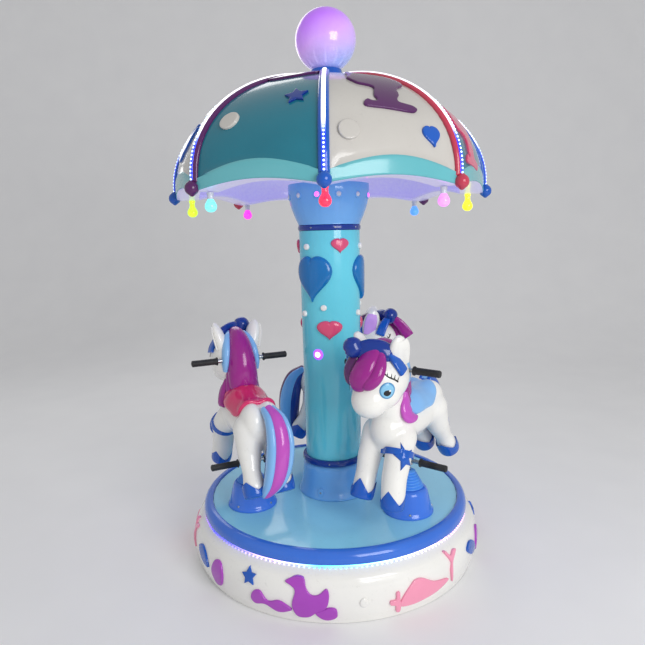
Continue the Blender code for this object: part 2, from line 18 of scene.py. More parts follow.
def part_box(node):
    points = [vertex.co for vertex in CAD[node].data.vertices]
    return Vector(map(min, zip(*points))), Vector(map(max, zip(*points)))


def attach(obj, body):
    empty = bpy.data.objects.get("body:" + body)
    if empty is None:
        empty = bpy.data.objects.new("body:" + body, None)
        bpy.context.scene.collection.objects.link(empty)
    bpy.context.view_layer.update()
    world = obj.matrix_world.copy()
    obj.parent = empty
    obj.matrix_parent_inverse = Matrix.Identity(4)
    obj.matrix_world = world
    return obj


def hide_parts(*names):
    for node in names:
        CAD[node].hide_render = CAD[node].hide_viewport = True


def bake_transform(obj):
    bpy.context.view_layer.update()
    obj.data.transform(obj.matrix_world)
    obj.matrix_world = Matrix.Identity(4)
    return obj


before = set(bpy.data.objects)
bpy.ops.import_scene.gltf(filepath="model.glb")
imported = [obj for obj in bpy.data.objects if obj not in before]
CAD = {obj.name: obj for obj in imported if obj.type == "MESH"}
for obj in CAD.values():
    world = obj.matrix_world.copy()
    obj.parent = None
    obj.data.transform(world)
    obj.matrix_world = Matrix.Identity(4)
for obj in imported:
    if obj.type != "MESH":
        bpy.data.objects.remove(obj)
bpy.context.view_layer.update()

# %% [markdown]
# Sizes that the pieces share are read off the solids where they can be, so that the looks fit the frame.
# The canopy follows a rule, a quarter of an ellipse between eight ribs, so its few driving numbers are
# named here.

# %% Sizes read from the frame
DECK_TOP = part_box("platform_deck")[1].z
DECK_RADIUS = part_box("platform_deck")[1].x
RIM_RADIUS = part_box("platform_rim")[1].x
BASE_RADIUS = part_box("base_housing")[1].x
BASE_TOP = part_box("base_housing")[1].z
SHAFT_LOW, SHAFT_HIGH = (corner.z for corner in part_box("column_shaft"))
CAPITAL_LOW, CAPITAL_HIGH = (corner.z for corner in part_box("column_capital"))
BULB_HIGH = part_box("canopy_bulb_1")[1].z
GLOBE_LOW, GLOBE_HIGH = (corner.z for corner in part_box("globe_lamp"))
SHAFT_RADIUS = (0.131, 0.139)       # at its foot and at its top
RIBS = 8
PANEL_TURN = 2 * math.pi / RIBS
FRONT_RIB = math.radians(-90)
CANOPY_RADIUS = 0.690
CANOPY_SPRING = 1.700               # height where the side wall stands upright
CANOPY_RISE = 0.450
PANEL_MID = 0.955                   # radius between two ribs, against the radius on a rib
HEM = 1.645
HEM_ARCH = 0.030
LIP_RADIUS = 0.590
BULB_CIRCLE = 0.624
BOSS = Vector((0.703, 0.0, 1.656))
SEAT_GAP = 0.0003                   # between a piece and what it rests on
print("deck at", round(DECK_TOP, 3), "canopy hem at", HEM)

# %% [markdown]
# Every paint colour is written as an sRGB hex value, the way a colour picker shows it, and one function
# turns it into the linear numbers that Blender's shaders want. One more function adds a shader or geometry
# node with its settings and links, which keeps the node trees below short.

# %% Colour and node helpers
def srgb(text):
    channels = [int(text[i:i + 2], 16) / 255 for i in (0, 2, 4)]
    return (*(c / 12.92 if c <= 0.04045 else ((c + 0.055) / 1.055) ** 2.4 for c in channels), 1.0)


def feed(tree, node, inputs):
    """Gives a node plain values or another node's output, by the socket's name or number."""
    for key, value in inputs.items():
        if isinstance(value, bpy.types.NodeSocket):
            tree.links.new(value, node.inputs[key])
        else:
            node.inputs[key].default_value = value


def add(tree, kind, inputs=None, **settings):
    """Adds a node with its settings and its inputs."""
    made = tree.nodes.new(kind)
    for name, value in settings.items():
        setattr(made, name, value)
    feed(tree, made, inputs or {})
    return made


def per_mm(size):
    """The Scale of a noise or wave whose features are this many millimetres apart."""
    return 1000.0 / size


def new_material(name):
    material = bpy.data.materials.new(name)
    material.use_nodes = True
    tree = material.node_tree
    return material, tree, tree.nodes["Principled BSDF"]


print("teal", [round(c, 3) for c in srgb("1e7c90")])

# %% [markdown]
# Nearly all of the ride is glass-fibre moulding with a coat of coloured gelcoat: a thick, hard, glossy
# resin that is sprayed into the mould first. Up close it has a faint orange-peel ripple a few millimetres
# wide, a colour that drifts a little over a hand's width, and dull scuffs from hands and shoes, with grime
# that settles in them. One function makes them all, so every colour of gelcoat wears in the same way. A
# clear coat gives the wet sparkle.

# %% Gelcoat
ORANGE_PEEL_MM = 7
DRIFT_MM = 180
SCUFF_MM = 55
GRIME_MM = 14
GRIME = srgb("6f6a63")
SCUFF_RANGE = (0.52, 0.72)      # the stretch of its noise over which a scuff sets in
GRIME_RANGE = (0.58, 0.76)
MOST_GRIME = 0.34
MOST_DULLING = 0.30             # what a full scuff adds to the roughness


def gelcoat(name, colour, deep, roughness=0.16, wear=0.3):
    """Glossy moulded resin: the colour drifts towards a deeper one, with scuffs and a little grime."""
    material, tree, shader = new_material(name)
    spot = add(tree, "ShaderNodeTexCoord").outputs["Object"]
    drift = add(tree, "ShaderNodeTexNoise", {"Vector": spot, "Scale": per_mm(DRIFT_MM), "Detail": 3.0})
    peel = add(tree, "ShaderNodeTexNoise", {"Vector": spot, "Scale": per_mm(ORANGE_PEEL_MM), "Detail": 1.0})
    scuff = add(tree, "ShaderNodeTexNoise", {"Vector": spot, "Scale": per_mm(SCUFF_MM), "Detail": 9.0,
                                             "Roughness": 0.75})
    dust = add(tree, "ShaderNodeTexNoise", {"Vector": spot, "Scale": per_mm(GRIME_MM), "Detail": 6.0,
                                            "Roughness": 0.7})
    rough = add(tree, "ShaderNodeMapRange", {
        "Value": scuff.outputs["Fac"], "From Min": SCUFF_RANGE[0], "From Max": SCUFF_RANGE[1],
        "To Min": roughness, "To Max": roughness + MOST_DULLING * wear})
    dirty = add(tree, "ShaderNodeMapRange", {
        "Value": dust.outputs["Fac"], "From Min": GRIME_RANGE[0], "From Max": GRIME_RANGE[1],
        "To Max": MOST_GRIME * wear})
    paint = add(tree, "ShaderNodeMix", {0: drift.outputs["Fac"], 6: srgb(colour), 7: srgb(deep)},
                data_type="RGBA")
    soiled = add(tree, "ShaderNodeMix", {0: dirty.outputs["Result"], 6: paint.outputs[2], 7: GRIME},
                 data_type="RGBA")
    bump = add(tree, "ShaderNodeBump", {"Height": peel.outputs["Fac"], "Strength": 0.12, "Distance": 0.0006})
    feed(tree, shader, {"Base Color": soiled.outputs[2], "Roughness": rough.outputs["Result"],
                        "Normal": bump.outputs["Normal"], "IOR": 1.52, "Specular IOR Level": 0.3,
                        "Coat Weight": 0.4, "Coat Roughness": 0.06})
    return material


WHITE = gelcoat("white_gelcoat", "f3f2ed", "e8e7e3", wear=0.5)
TEAL = gelcoat("teal_gelcoat", "1e7c90", "186e82")
PALE = gelcoat("pale_grey_gelcoat", "ccc9c3", "bfbbb6")
SEAFOAM = gelcoat("seafoam_gelcoat", "6cbcc4", "5eafb9")
DECK = gelcoat("deck_gelcoat", "9ee2fa", "8ed6f2", wear=0.45)
COLUMN_AQUA = gelcoat("column_aqua_gelcoat", "70d6e6", "5ec8dc")
SKY = gelcoat("sky_blue_gelcoat", "7cbcf6", "62a6ea")
BLUE = gelcoat("royal_blue_gelcoat", "1760c4", "114eb0")
MOUNT_BLUE = gelcoat("mount_blue_gelcoat", "4684ee", "3a70da", wear=0.4)
NAVY = gelcoat("navy_gelcoat", "123a96", "0e2f84")
PERIWINKLE = gelcoat("periwinkle_gelcoat", "3c78de", "3066cc", wear=0.4)
HEART_BLUE = gelcoat("heart_blue_gelcoat", "0a74b8", "0868aa")
PINK = gelcoat("rose_pink_gelcoat", "e0567c", "d2466e")
CRIMSON = gelcoat("crimson_gelcoat", "c84058", "b8364e", wear=0.4)
PURPLE = gelcoat("plum_gelcoat", "5c2264", "4e1a56")
MAGENTA = gelcoat("magenta_gelcoat", "a5248f", "8c1a80")
LIGHT_BLUE = gelcoat("light_blue_gelcoat", "8cc0f0", "78b0ea")
LILAC = gelcoat("lilac_gelcoat", "d6a8f0", "c992ea")
ORCHID = gelcoat("orchid_gelcoat", "cc5cc6", "b848b6", wear=0.2)
ROSE = gelcoat("crimson_rose_gelcoat", "de3470", "ca2862")
print(len(bpy.data.materials), "materials so far")

# %% [markdown]
# The rest of the surfaces are steel, rubber and lit plastic. The posts are drawn steel tube, zinc plated:
# fine lines run along them, and the plating has a soft spangle. The grips and pegs are moulded black
# rubber, dull, with a bloom of pale dust. The bellows are soft blue rubber with a satin skin.

# %% Steel and rubber
DRAW_LINE_MM = 1.2
SPANGLE_MM = 9
RUBBER_GRAIN_MM = 2.5


def plated_steel(name, colour, dull):
    material, tree, shader = new_material(name)
    spot = add(tree, "ShaderNodeTexCoord").outputs["Object"]
    stretch = add(tree, "ShaderNodeMapping", {"Vector": spot, "Scale": (1.0, 1.0, 0.05)})
    lines = add(tree, "ShaderNodeTexNoise", {"Vector": stretch.outputs["Vector"],
                                             "Scale": per_mm(DRAW_LINE_MM), "Detail": 4.0})
    spangle = add(tree, "ShaderNodeTexVoronoi", {"Vector": spot, "Scale": per_mm(SPANGLE_MM)})
    tone = add(tree, "ShaderNodeMix", {0: spangle.outputs["Color"], 6: srgb(colour), 7: srgb(dull)},
               data_type="RGBA")
    rough = add(tree, "ShaderNodeMapRange", {"Value": lines.outputs["Fac"], "To Min": 0.16, "To Max": 0.42})
    bump = add(tree, "ShaderNodeBump", {"Height": lines.outputs["Fac"], "Strength": 0.2, "Distance": 0.0002})
    feed(tree, shader, {"Base Color": tone.outputs[2], "Roughness": rough.outputs["Result"],
                        "Normal": bump.outputs["Normal"], "Metallic": 1.0})
    return material


def rubber(name, colour, dust, roughness=0.52, dusting=0.5):
    material, tree, shader = new_material(name)
    spot = add(tree, "ShaderNodeTexCoord").outputs["Object"]
    grain = add(tree, "ShaderNodeTexNoise", {"Vector": spot, "Scale": per_mm(RUBBER_GRAIN_MM), "Detail": 4.0})
    patch = add(tree, "ShaderNodeTexNoise", {"Vector": spot, "Scale": per_mm(SCUFF_MM), "Detail": 5.0})
    dusted = add(tree, "ShaderNodeMapRange", {"Value": patch.outputs["Fac"], "From Min": 0.45,
                                              "From Max": 0.8, "To Max": dusting})
    tone = add(tree, "ShaderNodeMix", {0: dusted.outputs["Result"], 6: srgb(colour), 7: srgb(dust)},
               data_type="RGBA")
    bump = add(tree, "ShaderNodeBump", {"Height": grain.outputs["Fac"], "Strength": 0.3, "Distance": 0.0004})
    feed(tree, shader, {"Base Color": tone.outputs[2], "Roughness": roughness,
                        "Normal": bump.outputs["Normal"]})
    return material


STEEL = plated_steel("zinc_plated_steel", "c3c7cb", "8f9498")
BLACK_RUBBER = rubber("black_rubber", "17171a", "4b4a4c")
BLUE_RUBBER = rubber("blue_bellows_rubber", "4a94ee", "7ab4f2", roughness=0.4, dusting=0.35)
GLOSS_BLACK = gelcoat("gloss_black_paint", "111114", "1a1a20", wear=0.1)
IRIS = gelcoat("iris_blue_paint", "8cc9ea", "80bde2", roughness=0.08, wear=0.0)
IRIS_RIM = gelcoat("iris_rim_paint", "5b9ccc", "4f8fc0", roughness=0.08, wear=0.0)
print("steel and rubber made")

# %% [markdown]
# Lamps are moulded in translucent plastic with the light source inside. The plastic glows where it is thin
# and shows its own gloss on top, so each one is an ordinary coloured plastic that also gives light. The
# globe is the large one: violet at its top and paler lower down, so its colour is a ramp over its height,
# with a soft mottle.

# %% Lamp plastics
LENS_MOTTLE_MM = 12
GLOBE_MOTTLE_MM = 90
GLOBE_LEAN = -0.45              # the globe's colours lie aslant: this much of X joins the height
GLOBE_WANDER = 0.05             # and this much of the mottle


def glow_into(tree, shader, colour, strength, roughness, coat):
    """Lets a surface give light in its own colour."""
    feed(tree, shader, {"Base Color": colour, "Emission Color": colour, "Emission Strength": strength,
                        "Roughness": roughness, "Coat Weight": coat})


def glow_along(tree, shader, value, colours, strength, roughness, coat=0.0):
    """The same, in a colour that changes along a value: (place, colour) pairs in order, from 0 to 1."""
    ramp = add(tree, "ShaderNodeValToRGB", {0: value})
    stops = ramp.color_ramp.elements
    stops[0].color, stops[1].color = srgb(colours[0][1]), srgb(colours[-1][1])
    for place, colour in colours[1:-1]:
        stops.new(place).color = srgb(colour)
    glow_into(tree, shader, ramp.outputs["Color"], strength, roughness, coat)


def lit_plastic(name, colour, glow, strength, roughness=0.22):
    material, tree, shader = new_material(name)
    spot = add(tree, "ShaderNodeTexCoord").outputs["Object"]
    mottle = add(tree, "ShaderNodeTexNoise", {"Vector": spot, "Scale": per_mm(LENS_MOTTLE_MM), "Detail": 3.0})
    tone = add(tree, "ShaderNodeMix", {0: mottle.outputs["Fac"], 6: srgb(glow), 7: srgb(colour)},
               data_type="RGBA")
    glow_into(tree, shader, tone.outputs[2], strength, roughness, 0.4)
    return material


def globe_plastic():
    material, tree, shader = new_material("violet_globe_acrylic")
    spot = add(tree, "ShaderNodeTexCoord").outputs["Object"]
    lean = add(tree, "ShaderNodeMapping", {"Vector": spot, "Location": (0, 0, -GLOBE_LOW)})
    parts = add(tree, "ShaderNodeSeparateXYZ", {0: lean.outputs["Vector"]})
    side = add(tree, "ShaderNodeMath", {0: parts.outputs["X"], 1: GLOBE_LEAN, 2: parts.outputs["Z"]},
               operation="MULTIPLY_ADD")
    cloud = add(tree, "ShaderNodeTexNoise", {"Vector": spot, "Scale": per_mm(GLOBE_MOTTLE_MM), "Detail": 2.0})
    wander = add(tree, "ShaderNodeMath", {0: cloud.outputs["Fac"], 1: GLOBE_WANDER, 2: side.outputs[0]},
                 operation="MULTIPLY_ADD")
    height = add(tree, "ShaderNodeMapRange", {"Value": wander.outputs[0], "From Min": 0.02,
                                              "From Max": GLOBE_HIGH - GLOBE_LOW})
    glow_along(tree, shader, height.outputs["Result"], (
        (0, "a9b8f5"), (0.22, "c9b0f6"), (0.5, "d3a2f8"), (0.78, "c27ff9"), (1, "b45cf5")), 0.22, 0.18, 0.5)
    return material


GLOBE = globe_plastic()
WHITE_LIGHT = lit_plastic("white_led_cover", "dfe6ff", "ffffff", 2.2)
DOT_LIGHT = lit_plastic("pale_blue_led", "9fc6ff", "d8ecff", 2.6)
MAGENTA_LIGHT = lit_plastic("magenta_led", "ff2fd0", "ff7ae6", 1.8)
VIOLET_LIGHT = lit_plastic("violet_led", "8a2cff", "b060ff", 1.4)
BULB_COLOURS = (("red", "f0143c", "ff3b5c"), ("magenta_pink", "e070e8", "f0a0f4"),
                ("yellow", "e6ee00", "f6fa40"), ("blue", "3d86f0", "66a6fa"), ("orange", "ff8a1c", "ffab52"),
                ("magenta", "f020c8", "ff50dc"), ("lime", "b8f000", "d8fa40"), ("cyan", "4fe4e8", "8ff4f4"))
BULB_LIGHTS = [lit_plastic(f"{name}_bulb_glass", deep, glow, 0.9) for name, deep, glow in BULB_COLOURS]
SOCKET = gelcoat("frosted_bulb_socket", "dfe3ea", "cdd3de", wear=0.2)
print(len(BULB_LIGHTS), "bulb colours")

# %% [markdown]
# Turned shapes make up half of this ride: base, rim, column, lamps, mounts. Blender's Screw or Spin could
# sweep them, but a short loop is as easy and keeps hold of the seam: a ring of points for each point of the
# profile, with one shared point where the profile meets the axis. A fillet rounds the profile's corners
# first, because no moulded edge is sharp, and the rounded edge is what catches the light.

# %% Pieces, fillets and turned shapes
CREASE = 38                     # degrees, above which an edge stays sharp
ON_AXIS = 0.00005               # a smaller radius than this is a point on the axis


def finish_mesh(bm, name, materials, crease=CREASE):
    bmesh.ops.remove_doubles(bm, verts=bm.verts, dist=0.00001)
    bmesh.ops.recalc_face_normals(bm, faces=bm.faces)
    mesh = bpy.data.meshes.new(name)
    bm.to_mesh(mesh)
    bm.free()
    for material in materials:
        mesh.materials.append(material)
    mesh.shade_smooth()
    mesh.set_sharp_from_angle(angle=math.radians(crease))
    thing = bpy.data.objects.new(name, mesh)
    bpy.context.scene.collection.objects.link(thing)
    return thing


def settle(thing, body, slot, *replaced):
    """Hands a finished piece to the frame: what it rides on, and the solids it stands for. Its paint slot is
    not used.
    """
    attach(thing, body)
    if replaced:
        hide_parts(*replaced)
    return thing


def paint_solid(material, *nodes):
    """A solid of the frame that needs no new shape gets its finish."""
    for node in nodes:
        CAD[node].data.materials.clear()
        CAD[node].data.materials.append(material)


def fillet(points, radius, steps=4):
    """The same line with its inner corners rounded."""
    line = [Vector(p) for p in points]
    out = [line[0]]
    for before, corner, after in zip(line, line[1:], line[2:]):
        reach = min(radius, 0.45 * (before - corner).length, 0.45 * (after - corner).length)
        a = corner + (before - corner).normalized() * reach
        b = corner + (after - corner).normalized() * reach
        for i in range(steps + 1):
            t = i / steps
            out.append(a * (1 - t) ** 2 + corner * 2 * t * (1 - t) + b * t ** 2)
    return out + [line[-1]]


def full_turn(steps):
    return [i * 2 * math.pi / steps for i in range(steps)]


def bridge(bm, rings, slot=0):
    """Faces between each ring of points and the next. A pole is a ring of one point given many times."""
    for first, second in zip(rings, rings[1:]):
        for i in range(len(first)):
            j = (i + 1) % len(first)
            corners = list(dict.fromkeys((first[i], first[j], second[j], second[i])))
            if len(corners) > 2:
                bm.faces.new(corners).material_index = slot


def turn_into(bm, profile, steps, closed=False, place=Matrix.Identity(4), slot=0):
    """Sweeps a profile of (radius, height) points, which runs down the outer side, about the axis."""
    rings = []
    for radius, height in profile:
        if radius < ON_AXIS:
            rings.append([bm.verts.new(place @ Vector((0, 0, height)))] * steps)
        else:
            rings.append([bm.verts.new(place @ Vector((radius * math.cos(a), radius * math.sin(a), height)))
                          for a in full_turn(steps)])
    bridge(bm, rings + rings[:1] if closed else rings, slot)


def turned(name, profile, material, steps=96, closed=False):
    bm = bmesh.new()
    turn_into(bm, profile, steps, closed)
    return finish_mesh(bm, name, [material])


print("a filleted square corner has", len(fillet([(0, 0), (1, 0), (1, 1)], 0.2)), "points")

# %% [markdown]
# Many pieces repeat about the ride's axis: lights, knobs, screws, hearts. A Geometry Nodes tree turns
# copies of one item about the axis, so the count, the first angle and the step are inputs that can be
# changed later. The item is modelled where it belongs at angle 0. A second tree lays items along a drawn
# line, each one standing on the line and facing away from it. Both end in Realize Instances and Set
# Material and are baked to a plain mesh.

# %% Geometry Nodes trees for repeats
def new_tree(name, inputs):
    tree = bpy.data.node_groups.new(name, "GeometryNodeTree")
    for label, kind in inputs:
        tree.interface.new_socket(label, in_out="INPUT", socket_type=kind)
    tree.interface.new_socket("Geometry", in_out="OUTPUT", socket_type="NodeSocketGeometry")
    return tree, add(tree, "NodeGroupInput").outputs


def end_tree(tree, instances, material):
    real = add(tree, "GeometryNodeRealizeInstances", {0: instances})
    painted = add(tree, "GeometryNodeSetMaterial", {0: real.outputs[0], "Material": material})
    add(tree, "NodeGroupOutput", {0: painted.outputs[0]})


def turning_tree():
    tree, given = new_tree("copies_about_the_axis", (
        ("Item", "NodeSocketObject"), ("Count", "NodeSocketInt"), ("First Angle", "NodeSocketFloat"),
        ("Step", "NodeSocketFloat"), ("Material", "NodeSocketMaterial")))
    item = add(tree, "GeometryNodeObjectInfo", {"Object": given["Item"]})
    points = add(tree, "GeometryNodePoints", {"Count": given["Count"]})
    number = add(tree, "GeometryNodeInputIndex")
    angle = add(tree, "ShaderNodeMath", {0: number.outputs[0], 1: given["Step"], 2: given["First Angle"]},
                operation="MULTIPLY_ADD")
    turn = add(tree, "ShaderNodeCombineXYZ", {"Z": angle.outputs[0]})
    copies = add(tree, "GeometryNodeInstanceOnPoints", {
        "Points": points.outputs[0], "Instance": item.outputs["Geometry"], "Rotation": turn.outputs[0]})
    end_tree(tree, copies.outputs[0], given["Material"])
    return tree


def line_tree():
    tree, given = new_tree("items_along_a_line", (
        ("Line", "NodeSocketObject"), ("Item", "NodeSocketObject"), ("Spacing", "NodeSocketFloat"),
        ("Side", "NodeSocketVector"), ("Material", "NodeSocketMaterial")))
    line = add(tree, "GeometryNodeObjectInfo", {"Object": given["Line"]})
    item = add(tree, "GeometryNodeObjectInfo", {"Object": given["Item"]})
    spots = add(tree, "GeometryNodeCurveToPoints", {0: line.outputs["Geometry"], "Length": given["Spacing"]},
                mode="LENGTH")
    away = add(tree, "ShaderNodeVectorMath", {0: spots.outputs["Tangent"], 1: given["Side"]},
               operation="CROSS_PRODUCT")
    stand = add(tree, "FunctionNodeAlignRotationToVector", {"Vector": away.outputs[0]}, axis="Z")
    along = add(tree, "FunctionNodeAlignRotationToVector", {
        "Rotation": stand.outputs[0], "Vector": spots.outputs["Tangent"]}, axis="X", pivot_axis="Z")
    copies = add(tree, "GeometryNodeInstanceOnPoints", {
        "Points": spots.outputs["Points"], "Instance": item.outputs["Geometry"],
        "Rotation": along.outputs[0]})
    end_tree(tree, copies.outputs[0], given["Material"])
    return tree


TURNING = turning_tree()
ALONG = line_tree()


def baked(name, tree, values, used):
    """Runs a tree with these inputs, keeps the result as a plain mesh, and removes the used items."""
    host = bpy.data.objects.new(name, bpy.data.meshes.new(name))
    bpy.context.scene.collection.objects.link(host)
    modifier = host.modifiers.new("repeat", "NODES")
    modifier.node_group = tree
    for socket in tree.interface.items_tree:
        if socket.in_out == "INPUT":
            modifier[socket.identifier] = values[socket.name]
    evaluated = host.evaluated_get(bpy.context.evaluated_depsgraph_get())
    mesh = bpy.data.meshes.new_from_object(evaluated)
    host.modifiers.remove(modifier)
    host.data = mesh
    mesh.name = name
    mesh.shade_smooth()
    mesh.set_sharp_from_angle(angle=math.radians(CREASE))
    for item in used:
        bpy.data.objects.remove(item)
    return host


def around(name, item, count, material, first=0.0):
    """Copies of an item, modelled at angle 0, turned about the ride's axis."""
    values = {"Item": item, "Count": count, "First Angle": first, "Step": 2 * math.pi / count,
              "Material": material}
    return baked(name, TURNING, values, [item])


def repeated(name, bm, count, material, body, slot, first=0.0):
    """The same for a mesh that is still being built, handed to the frame as one piece."""
    return settle(around(name, finish_mesh(bm, name + "_item", []), count, material, first), body, slot)


print("trees:", [tree.name for tree in bpy.data.node_groups])

# %% [markdown]
# The coloured figures on the ride are raised in the mould and painted. Two helpers make them. A plate is a
# flat relief with a rounded edge: a filled curve gives the plate and its bevel, and slicing it into strips
# lets it bend. A puff is a pillow over an outline that is seen whole from its middle, such as a heart. Both
# are modelled flat and then laid on a surface by a place function, which turns (across, up, out) into a
# point.

# %% Reliefs: outlines, plates and puffs
def catmull_rom(a, b, c, d, per):
    """Points from b on towards c, on the smooth curve that passes through all four."""
    return [0.5 * (2 * b + (c - a) * t + (2 * a - 5 * b + 4 * c - d) * t ** 2
                   + (3 * b - a - 3 * c + d) * t ** 3) for t in (s / per for s in range(per))]


def smooth_loop(points, per):
    """A closed curve through the points."""
    spots = [Vector(p) for p in points]
    out = []
    for i in range(len(spots)):
        out += catmull_rom(*(spots[(i + k) % len(spots)] for k in (-1, 0, 1, 2)), per)
    return out


def line_through(points, per=8):
    """An open curve through the points, which may carry widths behind their places."""
    spots = [Vector(p) for p in points]
    spots = [2 * spots[0] - spots[1]] + spots + [2 * spots[-1] - spots[-2]]
    out = []
    for four in zip(spots, spots[1:], spots[2:], spots[3:]):
        out += catmull_rom(*four, per)
    return out + [spots[-2]]


def ellipse(width, height, count=32):
    return [Vector((width / 2 * math.cos(a), height / 2 * math.sin(a))) for a in full_turn(count)]


def star(radius, waist=0.52):
    """Five points, with the inner corners at a share of the radius."""
    loop = []
    for i in range(10):
        reach = radius if i % 2 == 0 else radius * waist
        angle = math.pi / 2 + i * math.pi / 5
        loop.append(Vector((reach * math.cos(angle), reach * math.sin(angle))))
    return loop


HEART_NOTCH = 0.55


def heart(width, height):
    """A toy heart: the full curve has a deep notch, and these hearts have only about half of it."""
    loop = []
    for a in full_turn(48):
        notch = HEART_NOTCH * (5 * math.cos(2 * a) + 2 * math.cos(3 * a) + math.cos(4 * a))
        loop.append(Vector((-0.5 * math.sin(a) ** 3 * width, (13 * math.cos(a) - notch + 2.4) / 26 * height)))
    return loop


def moved(outline, x, y, turn=0.0):
    spin = Matrix.Rotation(turn, 2)
    return [spin @ p + Vector((x, y)) for p in outline]


PLATE_CELL = 0.014              # the strips of a plate are this wide, so that it can bend


def plate_into(bm, outline, place, height, edge):
    """A flat relief with rounded edges, laid on a surface."""
    curve = bpy.data.curves.new("outline", "CURVE")
    curve.dimensions = "2D"
    curve.fill_mode = "BOTH"
    spline = curve.splines.new("POLY")
    spline.points.add(len(outline) - 1)
    for point, spot in zip(spline.points, outline):
        point.co = (spot.x, spot.y, 0.0, 1.0)
    spline.use_cyclic_u = True
    curve.extrude = height - edge
    curve.bevel_depth = edge
    curve.bevel_resolution = 2
    curve.offset = -edge
    holder = bpy.data.objects.new("outline", curve)
    flat = bmesh.new()
    mesh = bpy.data.meshes.new_from_object(holder)
    flat.from_mesh(mesh)
    bmesh.ops.remove_doubles(flat, verts=flat.verts, dist=0.00002)
    for axis in (0, 1):
        low = min(v.co[axis] for v in flat.verts)
        high = max(v.co[axis] for v in flat.verts)
        normal = Vector([float(k == axis) for k in range(3)])
        for i in range(1, math.ceil((high - low) / PLATE_CELL)):
            bmesh.ops.bisect_plane(flat, geom=flat.verts[:] + flat.edges[:] + flat.faces[:], dist=0.00001,
                                   plane_co=normal * (low + i * PLATE_CELL), plane_no=normal)
    twin = {vert: bm.verts.new(place(*vert.co)) for vert in flat.verts}
    for face in flat.faces:
        bm.faces.new([twin[vert] for vert in face.verts])
    flat.free()
    bpy.data.meshes.remove(mesh)
    bpy.data.objects.remove(holder)
    bpy.data.curves.remove(curve)


# Rings of a puff: the share of the outline, and the share of the height
PUFF_RINGS = ((1.0, -0.30), (1.0, 0.10), (0.985, 0.38), (0.94, 0.62), (0.86, 0.80), (0.72, 0.92), (0.5, 0.98),
              (0.25, 1.0))


def puff_into(bm, outline, place, height, rings=PUFF_RINGS, slot=0):
    """A pillow over an outline, from rings that close in on its middle."""
    middle = sum(outline, Vector((0, 0))) / len(outline)
    loops = []
    for share, level in rings:
        spots = [middle + (p - middle) * share for p in outline]
        loops.append([bm.verts.new(place(p.x, p.y, level * height)) for p in spots])
    bottom, top = ([bm.verts.new(place(middle.x, middle.y, level * height))] * len(outline)
                   for level in (rings[0][1], 1.0))
    bridge(bm, [bottom, *loops, top], slot)


print("a heart outline has", len(heart(1, 1)), "points")

# %% [markdown]
# The base is the white moulding that stands on the floor, like an upturned bowl with a soft belly. Its
# profile is a smooth line through a few points. Over it lie the painted reliefs: ducks, whales, stars,
# pears, leaves and buttons. Their place function walks up the belly from a height, and round it from an
# angle.

# %% Base moulding
BELLY = line_through(((0.650, 0.183), (0.663, 0.150), (BASE_RADIUS, 0.104), (0.664, 0.050), (0.652, 0.012)))
FOOT_RADIUS = 0.648
SHOULDER = fillet([(0.560, BASE_TOP), (0.614, BASE_TOP), (0.626, BASE_TOP - 0.010), (0.650, 0.183)], 0.008)
base_profile = [(0.0, BASE_TOP)] + SHOULDER[:-1] + BELLY + [(FOOT_RADIUS, 0.002), (FOOT_RADIUS - 0.006, 0.0),
                                                            (0.0, 0.0)]
base = turned("base_moulding", base_profile, WHITE, steps=160)
settle(base, "base", "white_gelcoat", "base_housing")


def belly_radius(height):
    for upper, lower in zip(BELLY, BELLY[1:]):
        if lower.y <= height <= upper.y:
            share = (height - lower.y) / (upper.y - lower.y)
            return lower.x + share * (upper.x - lower.x)
    return BELLY[-1].x if height < BELLY[-1].y else BELLY[0].x


SLOPE_SPAN = 0.004


def on_base(angle, height):
    """A place on the belly: across runs to the right for someone who faces it."""
    def place(x, y, out):
        z = height + y
        turn = math.radians(angle) + x / BASE_RADIUS
        slope = (belly_radius(z + SLOPE_SPAN) - belly_radius(z - SLOPE_SPAN)) / (2 * SLOPE_SPAN)
        radius = belly_radius(z) + out
        return Vector((radius * math.cos(turn), radius * math.sin(turn), z - out * slope))
    return place


print("base moulding:", len(base.data.polygons), "faces")

# %% [markdown]
# The figures on the base come round three times: what shows at the front returns every 120 degrees. So each
# one is modelled once, at its own angle, and the axis tree makes the other two. Their outlines are drawn
# in millimetres from the figure's middle, and smoothed into a loop.

# %% Figures on the base
DUCK = ((-83, 42), (-62, 58), (-35, 68), (-8, 60), (2, 28), (22, 6), (50, 8), (80, 30), (90, 2), (78, -44),
        (40, -66), (8, -88), (-36, -86), (-54, -42), (-42, 12), (-56, 30))
TOY_SPOON = ((92, -7), (45, 17), (-5, 4), (-37, 38), (-68, 30), (-81, -2), (-60, -21), (-15, -12), (40, -32),
             (89, -18))
TOY_FOOT = ((-25, 12), (6, 26), (33, 21), (38, -10), (12, -26), (-17, -24), (-45, 0))
WHALE = ((-30, 52), (6, 48), (66, 16), (148, -6), (86, -32), (14, -42), (-50, -46), (-100, -36), (-84, 4),
         (-54, 36))
WHALE_TAIL = ((4, -66), (-6, -16), (2, 14), (-24, 58), (-14, 64), (6, 38), (34, 52), (52, 44), (14, 14),
              (8, -24), (10, -62))
WHALE_NOSE = ((15, -14), (12, -42), (-4, -40), (-8, -14), (-30, -4), (-30, 12), (-8, 14), (-6, 40), (8, 42),
              (10, 12))
TOY_PEAR = ((-20, 47), (20, 52), (40, 8), (24, -46), (-19, -49), (-46, -8))
TOY_LEAF = ((-58, 22), (-20, 44), (30, 26), (58, -20), (20, -26), (-18, -14))
REPEATS = 3
LAYER = 0.0006                  # where outlines of a figure overlap, each is this much thicker than the last


def drawn(outline):
    return smooth_loop([(x / 1000, y / 1000) for x, y in outline], 5)


